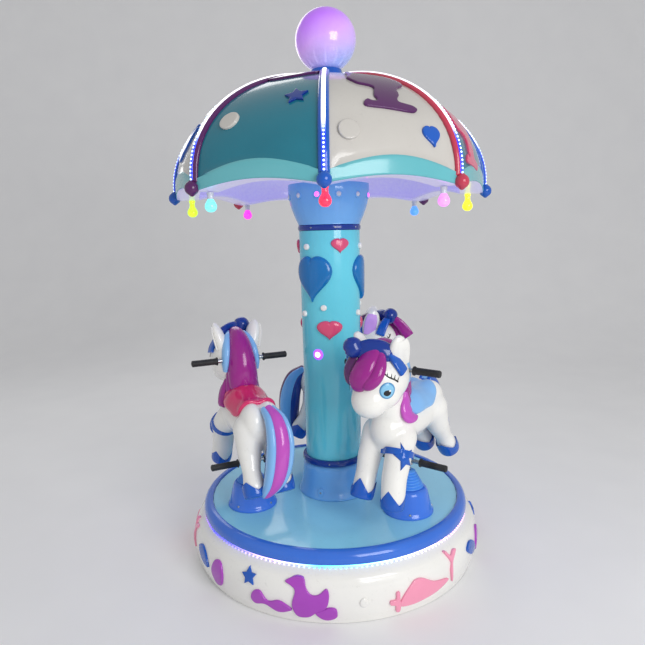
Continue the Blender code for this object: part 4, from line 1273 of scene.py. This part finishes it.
def melted(bm):
    """Melts closed shapes into one smooth skin."""
    mesh = bpy.data.meshes.new("masses")
    bm.to_mesh(mesh)
    bm.free()
    holder = bpy.data.objects.new("masses", mesh)
    bpy.context.scene.collection.objects.link(holder)
    remesh = holder.modifiers.new("one_skin", "REMESH")
    remesh.mode = "VOXEL"
    remesh.voxel_size = SKIN_VOXEL
    soften = holder.modifiers.new("soften", "SMOOTH")
    soften.factor = 0.5
    soften.iterations = SKIN_PASSES
    done = bpy.data.meshes.new_from_object(holder.evaluated_get(bpy.context.evaluated_depsgraph_get()))
    bpy.data.objects.remove(holder)
    done.shade_smooth()
    return done


def skin_masses():
    bm = bmesh.new()
    for chain in (BARREL, NECK, *LEGS):
        limb_into(bm, chain)
    for centre, radii, tilt in MASSES:
        place = (Matrix.Translation(centre) @ Matrix.Rotation(math.radians(tilt), 4, "Y")
                 @ Matrix.Diagonal((*radii, 1.0)))
        bmesh.ops.create_icosphere(bm, subdivisions=4, radius=1.0, matrix=place)
    return bm


SKIN = melted(skin_masses())
SKIN_TREE = BVHTree.FromPolygons([v.co for v in SKIN.vertices], [list(p.vertices) for p in SKIN.polygons])
print("pony skin:", len(SKIN.polygons), "faces")

# %% [markdown]
# Mane, tail, fringe and ribbon are locks: long pads of painted moulding that taper and lie side by side,
# with a groove where two meet. A lock is an oval swept along a smooth line, wide one way and thick the
# other. Everything flat that sits on the skin, such as an eye or a star, is laid on it by a ray: a place
# function shoots from in front of the skin and lifts the point off where it lands.

# %% Locks, and a place on the skin
LOCK_SIDES = 20
RAY_START, RAY_REACH = 0.15, 0.4    # a ray sets out this far in front of the skin, and looks this far
SIDES = (1, -1)


def lock_into(bm, points, side=(0.0, 1.0, 0.0), slot=0, square=1.0):
    """Sweeps an oval along points of (x, y, z, half width, half thickness); a small square makes it boxy."""
    line = line_through(points, 7)
    spots = [Vector(row[:3]) for row in line]
    section = [(math.cos(a), math.sin(a)) for a in full_turn(LOCK_SIDES)]
    rings = []
    for i, row in enumerate(line):
        along = (spots[min(i + 1, len(spots) - 1)] - spots[max(i - 1, 0)]).normalized()
        across = (Vector(side) - along * along.dot(Vector(side))).normalized()
        out = along.cross(across)
        wide, thick = abs(row[3]), abs(row[4])
        rings.append([bm.verts.new(spots[i] + across * math.copysign(wide * abs(c) ** square, c)
                                   + out * math.copysign(thick * abs(s) ** square, s)) for c, s in section])
    tips = (2 * spots[0] - spots[1], 2 * spots[-1] - spots[-2])
    first, last = ([bm.verts.new(tip)] * LOCK_SIDES for tip in tips)
    bridge(bm, [first, *rings, last], slot)


def on_skin(centre, facing):
    """A place on the pony's skin, for an eye that looks back along the facing direction."""
    out = Vector(facing).normalized()
    across = Vector((0, 0, 1)).cross(out).normalized()
    upward = out.cross(across)
    middle = Vector(centre)

    def place(x, y, lift):
        start = middle + across * x + upward * y + out * RAY_START
        hit = SKIN_TREE.ray_cast(start, -out, RAY_REACH)[0]
        return (hit or middle + across * x + upward * y) + out * lift
    return place


print("locks have", LOCK_SIDES, "sides")

# %% [markdown]
# The mane has a broad middle lock down the crest of the neck with a pale lock on each side, and it ends in
# a curl on each shoulder. The fringe falls over the forehead to one side. The tail hangs from the rump in
# four locks and turns up at its tip. The paints differ from pony to pony, so each lock only knows its slot
# number.

# %% Mane, fringe and tail
TAIL_LINE = ((-0.202, -0.016, 0.494, 0.030), (-0.252, -0.033, 0.452, 0.048), (-0.279, -0.038, 0.378, 0.058),
             (-0.291, -0.026, 0.288, 0.058), (-0.291, -0.006, 0.218, 0.048), (-0.280, 0.020, 0.168, 0.028),
             (-0.271, 0.034, 0.144, 0.008))
TAIL_LOCKS = ((0, 0.00, 0.48, 0.58, 0.50), (1, 0.64, 0.22, 0.34, 0.56), (1, -0.64, 0.22, 0.34, 0.56),
              (2, 0.00, -0.34, 0.84, 0.62))


def mane():
    bm = bmesh.new()
    lock_into(bm, ((0.214, 0.0, 0.760, 0.018, 0.012), (0.165, 0.0, 0.768, 0.034, 0.034),
                   (0.110, 0.0, 0.722, 0.052, 0.058), (0.086, 0.0, 0.645, 0.064, 0.070),
                   (0.072, 0.0, 0.572, 0.068, 0.060), (0.062, 0.0, 0.524, 0.060, 0.042),
                   (0.052, 0.0, 0.484, 0.028, 0.020)))
    for side in SIDES:
        lock_into(bm, ((0.178, 0.028 * side, 0.770, 0.013, 0.014), (0.142, 0.046 * side, 0.748, 0.019, 0.024),
                       (0.110, 0.062 * side, 0.702, 0.020, 0.032), (0.102, 0.071 * side, 0.650, 0.018, 0.032),
                       (0.102, 0.074 * side, 0.606, 0.010, 0.022)), slot=1)
        lock_into(bm, ((0.096, 0.040 * side, 0.640, 0.020, 0.034), (0.098, 0.046 * side, 0.590, 0.025, 0.034),
                       (0.096, 0.050 * side, 0.540, 0.026, 0.028), (0.088, 0.058 * side, 0.500, 0.020, 0.020),
                       (0.078, 0.066 * side, 0.474, 0.007, 0.008)))
        lock_into(bm, ((0.112, 0.066 * side, 0.566, 0.010, 0.010), (0.119, 0.071 * side, 0.538, 0.020, 0.015),
                       (0.132, 0.077 * side, 0.507, 0.033, 0.018), (0.130, 0.083 * side, 0.478, 0.037, 0.019),
                       (0.104, 0.089 * side, 0.459, 0.026, 0.015),
                       (0.078, 0.093 * side, 0.450, 0.008, 0.007)), side=(1.0, 0.0, 0.3), slot=2)
    return pony_mesh(bm, "mane")


def fringe(painted_shade_lock):
    bm = bmesh.new()
    lock_into(bm, ((0.232, 0.012, 0.772, 0.034, 0.018), (0.268, 0.010, 0.742, 0.042, 0.026),
                   (0.294, 0.000, 0.708, 0.046, 0.028), (0.306, -0.012, 0.676, 0.045, 0.026),
                   (0.308, -0.026, 0.650, 0.035, 0.020), (0.306, -0.038, 0.634, 0.014, 0.010)))
    lock_into(bm, ((0.226, 0.040, 0.764, 0.018, 0.014), (0.252, 0.055, 0.735, 0.024, 0.021),
                   (0.274, 0.058, 0.707, 0.027, 0.024), (0.294, 0.048, 0.680, 0.027, 0.024),
                   (0.307, 0.026, 0.659, 0.024, 0.021), (0.311, 0.004, 0.646, 0.010, 0.010)),
              side=(-0.45, 0.9, 0.0))
    # A dark plum lock on the knot's side is painted shade: it stands for the shadow that the ribbon casts on
    # the fringe.
    if painted_shade_lock:
        lock_into(bm, ((0.236, -0.044, 0.768, 0.020, 0.015), (0.262, -0.060, 0.732, 0.030, 0.025),
                       (0.278, -0.067, 0.698, 0.033, 0.027), (0.283, -0.071, 0.668, 0.029, 0.022),
                       (0.281, -0.074, 0.648, 0.021, 0.015), (0.278, -0.076, 0.636, 0.008, 0.006)),
                  side=(0.4, 0.9, 0.0), slot=1)
    return pony_mesh(bm, "fringe")


def tail():
    bm = bmesh.new()
    spots = [Vector(row[:3]) for row in TAIL_LINE]
    rearward = []
    for before, after in zip([spots[0]] + spots[:-1], spots[1:] + [spots[-1]]):
        rearward.append(Vector((0, 1, 0)).cross(after - before).normalized())
    for slot, across, back, width, depth in TAIL_LOCKS:
        line = []
        for spot, row, out in zip(spots, TAIL_LINE, rearward):
            middle = spot + Vector((0, across * row[3], 0)) + out * back * row[3]
            line.append((*middle, row[3] * width, row[3] * depth))
        lock_into(bm, line, slot=slot)
    return pony_mesh(bm, "tail")


MANE, TAIL = mane(), tail()
FRINGES = [fringe(True), fringe(True), fringe(False)]
print("mane and tail:", len(MANE.polygons) + len(TAIL.polygons), "faces")

# %% [markdown]
# A ribbon with a round knot is tied across the head between the ears, and its tails hang beside the cheek.
# The ears are small leaf shapes that cup forward. The saddle is a pad that wraps over the back to a point
# on each side, raised most a little ahead of its middle: a puff over an outline, wrapped round the barrel by
# rays.

# %% Ribbon, ears and saddle
BARREL_AXIS, BARREL_RADIUS = 0.405, 0.100
SADDLE_LINE = ((58, 0), (63, 25), (84, 50), (98, 67), (101, 83), (82, 102), (44, 110), (-10, 113), (-64, 118),
               (-104, 100), (-127, 78), (-142, 42), (-146, 0), (-142, -42), (-127, -78), (-104, -100),
               (-64, -118), (-10, -113), (44, -110), (82, -102), (101, -83), (98, -67), (84, -50), (63, -25))
EAR_LINE = ((0.154, 0.066, 0.700, 0.040, 0.030), (0.160, 0.075, 0.742, 0.044, 0.029),
            (0.168, 0.086, 0.778, 0.041, 0.025), (0.175, 0.094, 0.804, 0.030, 0.018),
            (0.179, 0.098, 0.821, 0.013, 0.009))


KNOT_LENGTH, KNOT_GROOVE, KNOT_GROOVE_WIDTH = 1.05, 0.10, 0.16


def knot_into(bm, centre, radius):
    """A ball, a little longer than wide, with a soft groove round its middle."""
    place = Matrix.Translation(centre) @ Matrix.Rotation(math.radians(25), 4, "X")
    line = []
    for a in full_turn(28)[:15]:
        groove = KNOT_GROOVE * math.exp(-((a - math.pi / 2) / KNOT_GROOVE_WIDTH) ** 2)
        line.append((radius * math.sin(a) * (1 - groove), radius * KNOT_LENGTH * math.cos(a)))
    turn_into(bm, line, 28, place=place)


def ribbon(front_tail):
    bm = bmesh.new()
    knot_into(bm, (0.262, -0.058, 0.788), 0.040)
    lock_into(bm, ((0.256, -0.042, 0.782, 0.030, 0.016), (0.242, -0.014, 0.774, 0.045, 0.024),
                   (0.224, 0.020, 0.766, 0.050, 0.027), (0.210, 0.046, 0.757, 0.047, 0.026),
                   (0.201, 0.064, 0.747, 0.038, 0.022), (0.195, 0.074, 0.741, 0.024, 0.012)),
              side=(-0.29, -0.18, 0.94))
    lock_into(bm, ((0.196, 0.056, 0.760, 0.020, 0.013), (0.198, 0.078, 0.744, 0.023, 0.011),
                   (0.198, 0.096, 0.724, 0.026, 0.009), (0.194, 0.109, 0.702, 0.027, 0.009),
                   (0.189, 0.1165, 0.683, 0.027, 0.008)), side=(1.0, 0.0, 0.1), slot=1, square=0.5)
    lock_into(bm, ((0.252, -0.074, 0.784, 0.015, 0.011), (0.236, -0.090, 0.760, 0.020, 0.010),
                   (0.222, -0.102, 0.733, 0.022, 0.009), (0.211, -0.109, 0.706, 0.023, 0.009),
                   (0.207, -0.111, 0.696, 0.023, 0.008)), side=(0.9, 0.0, 0.4), slot=1, square=0.5)
    if front_tail:
        lock_into(bm, ((0.272, -0.070, 0.782, 0.016, 0.011), (0.298, -0.074, 0.761, 0.022, 0.010),
                       (0.324, -0.075, 0.733, 0.025, 0.009), (0.346, -0.074, 0.704, 0.026, 0.009),
                       (0.359, -0.073, 0.685, 0.026, 0.008)), side=(0.75, 0.0, 0.66), slot=2, square=0.5)
    return pony_mesh(bm, "ribbon")


def ears():
    bm = bmesh.new()
    for side in SIDES:
        lock_into(bm, [(x, y * side, z, width, depth) for x, y, z, width, depth in EAR_LINE],
                  side=(1.0, -0.3 * side, 0.0))
    return pony_mesh(bm, "ears")


def ear_linings():
    """A painted hollow on the outer face of each ear."""
    bm = bmesh.new()
    for side in SIDES:
        lock_into(bm, [(x - 0.010 + 0.26 * depth, (y + 0.96 * (depth - 0.001)) * side, z, width * 0.76, 0.005)
                       for x, y, z, width, depth in EAR_LINE[:-1]], side=(1.0, -0.3 * side, 0.0))
    return pony_mesh(bm, "ear_linings")


POMMEL_X, POMMEL_SPREAD, POMMEL_RISE = 0.020, 0.070, 0.7


def on_barrel(x, y, out):
    """A place round the pony's back: x along it, y over it from the middle, out from the skin."""
    turn = y / BARREL_RADIUS
    away = Vector((0.0, math.sin(turn), math.cos(turn)))
    axis = Vector((x, 0.0, BARREL_AXIS))
    hit = SKIN_TREE.ray_cast(axis + away * 0.2, -away, 0.3)[0] or axis + away * 0.095
    pommel = math.exp(-((x - POMMEL_X) / POMMEL_SPREAD) ** 2) * math.cos(min(abs(turn) * 0.9, math.pi / 2))
    return hit + away * out * (1 + POMMEL_RISE * pommel)


SADDLE_RINGS = ((1.0, -0.2), (1.0, 0.22), (0.985, 0.36), (0.95, 0.46), (0.88, 0.54), (0.76, 0.64),
                (0.6, 0.78), (0.42, 0.90), (0.2, 0.98))


def saddle():
    bm = bmesh.new()
    puff_into(bm, drawn(SADDLE_LINE), on_barrel, 0.034, SADDLE_RINGS)
    return pony_mesh(bm, "saddle", crease=60)


RIBBONS = [ribbon(False), ribbon(True), ribbon(True)]
EARS, EAR_LININGS, SADDLE = ears(), ear_linings(), saddle()
print("saddle", len(SADDLE.polygons), "faces")

# %% [markdown]
# The face is a plain toy pony's: on each side a pale blue iris with a darker rim, a pupil and a glint, and
# four lashes well above it, all painted on low relief. Each hoof is a cup of blue that rises up the leg in
# points, a common fairground pattern, and the outer foreleg wears a strap with a star.

# %% Eyes, hooves and strap
EYE = (0.267, 0.085, 0.632)
EYE_FACING = (0.76, 0.65, 0.0)
LASH_LINE = ((-0.002, 0.064), (0.008, 0.053), (0.020, 0.045), (0.034, 0.036), (0.046, 0.024))
LASHES = ((0.006, 0.055, 0.004, 0.014), (0.019, 0.045, 0.005, 0.015), (0.031, 0.038, 0.007, 0.015),
          (0.043, 0.027, 0.009, 0.015))


def eye_frame(side):
    return on_skin((EYE[0], EYE[1] * side, EYE[2]), (EYE_FACING[0], EYE_FACING[1] * side, EYE_FACING[2]))


def eyes():
    bm = bmesh.new()
    for side in SIDES:
        place = eye_frame(side)
        puff_into(bm, ellipse(0.062, 0.066), place, 0.0046)
        puff_into(bm, ellipse(0.056, 0.060), place, 0.0056, slot=1)
        puff_into(bm, moved(ellipse(0.034, 0.028), -0.001 * side, -0.008), place, 0.0068, slot=2)
        puff_into(bm, moved(ellipse(0.010, 0.009, 16), 0.010 * side, -0.001), place, 0.0078, slot=3)
    return pony_mesh(bm, "eyes")


def lashes():
    bm = bmesh.new()
    for side in SIDES:
        place = eye_frame(side)
        lock_into(bm, [(*place(x * side, y, 0.0012), 0.0030, 0.0018) for x, y in LASH_LINE], side=(0, 0, 1))
        for x, y, lean, length in LASHES:
            tip = [(x + lean * t, y + length * t, 1.1 - 0.9 * t) for t in (0.0, 0.5, 1.0)]
            lock_into(bm, [(*place(px * side, py, 0.0012), 0.0024 * w, 0.0017 * w) for px, py, w in tip],
                      side=(0.5, -0.8, 0))
    return pony_mesh(bm, "lashes")


HOOF_POINTS = 3
HOOF_PHASE = 8 / 360        # turns the points a little out of line with the leg
HOOF_SIDES = 48
HOOF_ROWS = (0.0, 0.06, 0.14, 0.3, 0.5, 0.7, 0.86, 1.0)
HOOF_RADIUS, SOLE_RADIUS, HOOF_INSIDE = 0.0515, 0.036, 0.030
HOOF_REACH, HOOF_FILL = 0.048, 0.040    # from the leg's last ball to the sole, and where the inside is closed
SOLE_ROUND, SOLE_ROUND_HEIGHT = 0.0085, 0.010
HOOF_TAPER = 0.0014


def hoof_into(bm, leg, low, rise, tilt):
    """A cup in line with the lower leg, with a flat sole. Its edge rises in points, and by tilt in front."""
    upper, lower = Vector(leg[-2][:3]), Vector(leg[-1][:3])
    line = (lower - upper).normalized()
    place = (Matrix.Translation(lower + line * HOOF_REACH)
             @ Vector((0, 0, -1)).rotation_difference(line).to_matrix().to_4x4())

    def spot(angle, reach, height):
        return bm.verts.new(place @ Vector((reach * math.cos(angle), reach * math.sin(angle), height)))

    turn = full_turn(HOOF_SIDES)
    rows = [[spot(angle, SOLE_RADIUS, 0.0) for angle in turn]]
    for share in HOOF_ROWS:
        row = []
        for i, angle in enumerate(turn):
            wave = abs(((i / HOOF_SIDES - HOOF_PHASE) * HOOF_POINTS) % 1.0 - 0.5) * 2
            height = 0.003 + share * (low + rise * wave + tilt * math.cos(angle))
            rounding = SOLE_ROUND * math.exp(-height / SOLE_ROUND_HEIGHT)
            row.append(spot(angle, HOOF_RADIUS - rounding - HOOF_TAPER * share, height))
        rows.append(row)
    rows.append([spot(angle, HOOF_INSIDE, HOOF_FILL) for angle in turn])
    bridge(bm, rows)
    bm.faces.new(rows[0][::-1])
    bm.faces.new(rows[-1])


def hooves():
    bm = bmesh.new()
    for leg in LEGS[:2]:
        hoof_into(bm, leg, 0.019, 0.060, 0.0)
    for leg in LEGS[2:]:
        hoof_into(bm, leg, 0.040, 0.036, 0.020)
    return pony_mesh(bm, "hooves", crease=50)


STRAP_SHARE = 0.86          # how far down the upper leg the strap sits
STRAP_SECTION = ((-0.004, -0.014), (0.0050, -0.013), (0.0060, 0.0), (0.0050, 0.013), (-0.004, 0.014))


def strap():
    """A band round the outer foreleg, with a puffed star on it."""
    bm = bmesh.new()
    a, b = Vector(FRONT_OUTER_LEG[0][:3]), Vector(FRONT_OUTER_LEG[1][:3])
    middle = a.lerp(b, STRAP_SHARE)
    line = (Vector(FRONT_OUTER_LEG[2][:3]) - a).normalized()
    across = line.cross(Vector((0, 0, 1))).normalized()
    up = across.cross(line)
    rings = []
    for angle in full_turn(40):
        away = across * math.cos(angle) + up * math.sin(angle)
        hit = SKIN_TREE.ray_cast(middle + away * 0.085, -away, 0.085)[0] or middle + away * 0.055
        rings.append([bm.verts.new(hit + away * out + line * step) for out, step in STRAP_SECTION])
    bridge(bm, rings + rings[:1])
    star_place = on_skin((0.230, 0.116, 0.339), (0.62, 0.78, 0.12))
    puff_into(bm, [Vector((x, y * 1.3)) for x, y in star(0.043, 0.48)], star_place, 0.010)
    return pony_mesh(bm, "strap")


EYES, LASH_MARKS, HOOVES, STRAP = eyes(), lashes(), hooves(), strap()
print("hooves", len(HOOVES.polygons), "faces")

# %% [markdown]
# What the rider touches is rubber on steel: two grips on a bar through the head, and two pegs on a bar
# through the post. A grip has a flange at its inner end, fine ribs for hold and a rounded tip. The post
# slides in its mount, a blue cone bolted to the deck, and a rubber bellows hides the gap. The bellows has
# to stretch as the pony rises, so each one is made as tall as its pony's lift asks and stands on the mount.

# %% Grips, posts, mounts and bellows
BAR_RADIUS = 0.009
GRIP_RADIUS = 0.0150
RIB_PITCH, RIB_DEPTH = 0.0060, 0.0011
FLANGE_RADIUS = 0.0188
POST_BORE = 0.0117          # the sleeve that the post slides in
MOUNT_TOP = 0.112
BELLOWS_FOLDS, FOLD_POINTS, FOLD_DEPTH = 7, 8, 0.006
BELLOWS_HEIGHT = 0.044
BELLOWS_TOP, BELLOWS_SPREAD = 0.030, 0.040      # its radius at the top, and what the foot adds


def grip_line(inner, outer):
    """Profile of half a bar with its grip, from the tip inwards."""
    line = [(0.0, outer), (0.008, outer - 0.0004), (GRIP_RADIUS - 0.0015, outer - 0.003),
            (GRIP_RADIUS, outer - 0.008)]
    z = outer - 0.010
    while z > inner + 0.012:
        line += [(GRIP_RADIUS, z), (GRIP_RADIUS - RIB_DEPTH, z - RIB_PITCH * 0.35),
                 (GRIP_RADIUS - RIB_DEPTH, z - RIB_PITCH * 0.6), (GRIP_RADIUS, z - RIB_PITCH * 0.85)]
        z -= RIB_PITCH
    return line + [(0.0155, inner + 0.006), (FLANGE_RADIUS, inner + 0.005), (FLANGE_RADIUS, inner + 0.001),
                   (0.0170, inner), (BAR_RADIUS - 0.001, inner)]


def grips(inner, outer):
    bm = bmesh.new()
    for turn in (-math.pi / 2, math.pi / 2):
        turn_into(bm, grip_line(inner, outer) + [(0.0, inner)], 28, place=Matrix.Rotation(turn, 4, "X"))
    return pony_mesh(bm, "grips")


def bar(inner, hub):
    line = [(0.0, inner + 0.002), (BAR_RADIUS, inner + 0.002), (BAR_RADIUS, hub[1] + 0.002), (hub[0], hub[1])]
    line += [(radius, -z) for radius, z in reversed(line)]
    bm = bmesh.new()
    turn_into(bm, line, 28, place=Matrix.Rotation(math.pi / 2, 4, "X"))
    return pony_mesh(bm, "bar")


def one_turned(name, line, closed=False, steps=40):
    bm = bmesh.new()
    turn_into(bm, line, steps, closed)
    return pony_mesh(bm, name)


HAND_GRIPS, PEG_GRIPS = grips(0.108, 0.226), grips(0.060, 0.186)
HAND_BAR, PEG_BAR = bar(0.108, (BAR_RADIUS, 0.030)), bar(0.060, (0.0195, 0.019))
MOUNT = one_turned("mount", fillet([
    (POST_BORE, MOUNT_TOP), (0.074, MOUNT_TOP), (0.084, MOUNT_TOP - 0.012), (0.104, 0.020), (0.111, 0.010),
    (0.112, SEAT_GAP), (POST_BORE, SEAT_GAP)], 0.010), closed=True, steps=72)
POST = one_turned("post", fillet([(0.0, POST_TOP), (POST_RADIUS, POST_TOP), (POST_RADIUS, POST_BOTTOM),
                                  (0.0, POST_BOTTOM)], 0.001, 2))
on_cone = Matrix.Translation((0.104, 0, 0.0215)) @ Matrix.Rotation(math.radians(76), 4, "Y")
mount_screws = around("mount_screws", screw_item(0.0055, on_cone), 4, STEEL, 0.6)
MOUNT_SCREWS = mount_screws.data.copy()
bpy.data.objects.remove(mount_screws)


def bellows_line(height):
    """Wide at the foot and narrow at the top."""
    low = MOUNT_TOP + SEAT_GAP
    steps = BELLOWS_FOLDS * FOLD_POINTS
    outer = []
    for i in range(steps + 1):
        fold = 0.5 + 0.5 * math.cos(i * 2 * math.pi / FOLD_POINTS)
        radius = BELLOWS_TOP + BELLOWS_SPREAD * i / steps - FOLD_DEPTH * fold ** 1.5
        outer.append((radius, low + (1 - i / steps) * height))
    return [(POST_BORE, low + height), (0.024, low + height)] + outer + [(POST_BORE, low)]


# For each pony, the paints of its mane and of its tail, its saddle and the hollows of its ears
PALETTES = (((MAGENTA, LIGHT_BLUE, ORCHID), (LIGHT_BLUE, BLUE, BLUE), LIGHT_BLUE, WHITE),
            ((MAGENTA, LIGHT_BLUE, MAGENTA), (ORCHID, LIGHT_BLUE, NAVY), ROSE, WHITE),
            ((PURPLE, BLUE, PURPLE), (PURPLE, SKY, NAVY), LIGHT_BLUE, LILAC))
HANDLE_PLACE = Matrix.Translation((0.100, 0.0, 0.657))
PEG_PLACE = Matrix.Translation((0, 0, 0.200))
for k, (mane_paints, tail_paints, saddle_paint, lining_paint) in enumerate(PALETTES):
    body, deck, seat = f"pony_{k + 1}", deck_matrix(k), seat_matrix(k)
    raised = deck @ Matrix.Translation((0, 0, LIFTS[k]))
    for name, mesh, materials, place, rides, slot, *stands_for in (
            ("skin", SKIN, [WHITE], seat, body, "white_gelcoat", "body"),
            ("ears", EARS, [WHITE], seat, body, "white_gelcoat"),
            ("ear_linings", EAR_LININGS, [lining_paint], seat, body, "white_gelcoat"),
            ("mane", MANE, mane_paints, seat, body, "white_gelcoat"),
            # The fringe's plum slot is painted shade under the ribbon.
            ("fringe", FRINGES[k], [MAGENTA, PURPLE], seat, body, "white_gelcoat"),
            ("tail", TAIL, tail_paints, seat, body, "white_gelcoat"),
            ("ribbon", RIBBONS[k], [NAVY, BLUE, MAGENTA], seat, body, "navy_gelcoat"),
            ("saddle", SADDLE, [saddle_paint], seat, body, "sky_gelcoat"),
            ("hooves", HOOVES, [BLUE], seat, body, "blue_gelcoat"),
            ("eyes", EYES, [IRIS_RIM, IRIS, GLOSS_BLACK, WHITE], seat, body, "white_gelcoat"),
            ("lashes", LASH_MARKS, [GLOSS_BLACK], seat, body, "white_gelcoat"),
            ("strap", STRAP, [BLUE], seat, body, "blue_gelcoat"),
            ("hand_grips", HAND_GRIPS, [BLACK_RUBBER], seat @ HANDLE_PLACE, body, "rubber", "handlebar"),
            ("hand_bar", HAND_BAR, [STEEL], seat @ HANDLE_PLACE, body, "steel"),
            ("peg_grips", PEG_GRIPS, [BLACK_RUBBER], raised @ PEG_PLACE, body, "rubber", "footrest"),
            ("peg_bar", PEG_BAR, [STEEL], raised @ PEG_PLACE, body, "steel"),
            ("lift_post", POST, [STEEL], raised, body, "steel", "post"),
            ("mount_cone", MOUNT, [MOUNT_BLUE], deck, "turntable", "blue_gelcoat", "mount"),
            ("mount_screws", MOUNT_SCREWS, [STEEL], deck, "turntable", "steel")):
        thing = twin_of(mesh, f"pony_{k + 1}_{name}", materials, place)
        settle(thing, rides, slot, *(f"pony_{k + 1}_{node}" for node in stands_for))
    height = BELLOWS_HEIGHT + LIFTS[k]
    folds = twin_of(one_turned("bellows", bellows_line(height), closed=True, steps=56),
                    f"pony_{k + 1}_rubber_bellows", [BLUE_RUBBER], deck)
    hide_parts(f"pony_{k + 1}_bellows")
    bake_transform(folds)
print("ponies dressed:", len(PALETTES))

# %% [markdown]
# The stage is a plain pale floor with a soft bend up behind, lit like a product photograph: one large key
# light, a broad fill and a rim light from behind, with an even pale sky. The camera stands where the
# photographer's did.

# %% Floor, lights and camera
FLOOR = 6.0


def studio_floor():
    material, tree, shader = new_material("pale_studio_floor")
    spot = add(tree, "ShaderNodeTexCoord").outputs["Object"]
    faint = add(tree, "ShaderNodeTexNoise", {"Vector": spot, "Scale": per_mm(400), "Detail": 2.0})
    tone = add(tree, "ShaderNodeMix", {0: faint.outputs["Fac"], 6: srgb("f3f3f4"), 7: srgb("ececee")},
               data_type="RGBA")
    feed(tree, shader, {"Base Color": tone.outputs[2], "Roughness": 0.7})
    sweep = [(-FLOOR, 0.0)] + [Vector(p) for p in fillet([(0.0, 0.0), (FLOOR, 0.0), (FLOOR, FLOOR)], 2.5, 16)]
    bm = bmesh.new()
    rows = [[bm.verts.new((x, y, z)) for x in (-FLOOR * 1.6, FLOOR * 1.6)] for y, z in sweep]
    for near, far in zip(rows, rows[1:]):
        bm.faces.new((near[0], near[1], far[1], far[0]))
    mesh = bpy.data.meshes.new("studio_floor")
    bm.to_mesh(mesh)
    bm.free()
    mesh.materials.append(material)
    mesh.shade_smooth()
    floor = bpy.data.objects.new("studio_floor", mesh)
    floor.location.z = -0.0005
    bpy.context.scene.collection.objects.link(floor)
    return floor


studio_floor()


def soft_light(name, place, aim, size, power, colour="ffffff"):
    light = bpy.data.lights.new(name, "AREA")
    light.energy = power
    light.size = size
    light.color = srgb(colour)[:3]
    lamp = bpy.data.objects.new(name, light)
    lamp.location = place
    lamp.rotation_euler = (Vector(aim) - Vector(place)).to_track_quat("-Z", "Y").to_euler()
    bpy.context.scene.collection.objects.link(lamp)


soft_light("key", (2.3, -3.9, 2.3), (0, 0, 0.9), 2.2, 108)
soft_light("fill", (-3.4, -2.6, 1.6), (0, 0, 0.9), 2.6, 4, "f4f7ff")
soft_light("back", (-1.4, 3.4, 3.6), (0, 0, 1.6), 2.4, 26)
world = bpy.data.worlds.new("studio")
world.use_nodes = True
backdrop = world.node_tree.nodes["Background"]
backdrop.inputs["Color"].default_value = srgb("f4f4f4")
backdrop.inputs["Strength"].default_value = 0.57
bpy.context.scene.world = world
bpy.context.scene.view_settings.view_transform = "Standard"

YAW, PITCH, ROLL = math.radians(-2.0), 0.145, 0.0222
CAMERA_PLACE = Vector((0.0528, -2.673, 1.4632))
FOCAL_PIXELS = 578.27       # focal length against a frame 645 pixels wide
FRAME_PIXELS = 645
SENSOR_MM = 36.0


def camera_matrix():
    ahead = Vector((math.cos(PITCH) * math.sin(YAW), math.cos(PITCH) * math.cos(YAW), -math.sin(PITCH)))
    right = Vector((math.cos(YAW), -math.sin(YAW), 0.0))
    up = right.cross(ahead)
    tilted_right = math.cos(ROLL) * right - math.sin(ROLL) * up
    tilted_up = math.sin(ROLL) * right + math.cos(ROLL) * up
    turn = Matrix((tilted_right, tilted_up, -ahead)).transposed().to_4x4()
    return Matrix.Translation(CAMERA_PLACE) @ turn


camera = bpy.data.objects.new("camera", bpy.data.cameras.new("camera"))
camera.data.sensor_width = SENSOR_MM
camera.data.lens = FOCAL_PIXELS * SENSOR_MM / FRAME_PIXELS
camera.matrix_world = camera_matrix()
bpy.context.scene.collection.objects.link(camera)
bpy.context.scene.camera = camera
print("camera", [round(c, 2) for c in CAMERA_PLACE], "lens", round(camera.data.lens, 1))
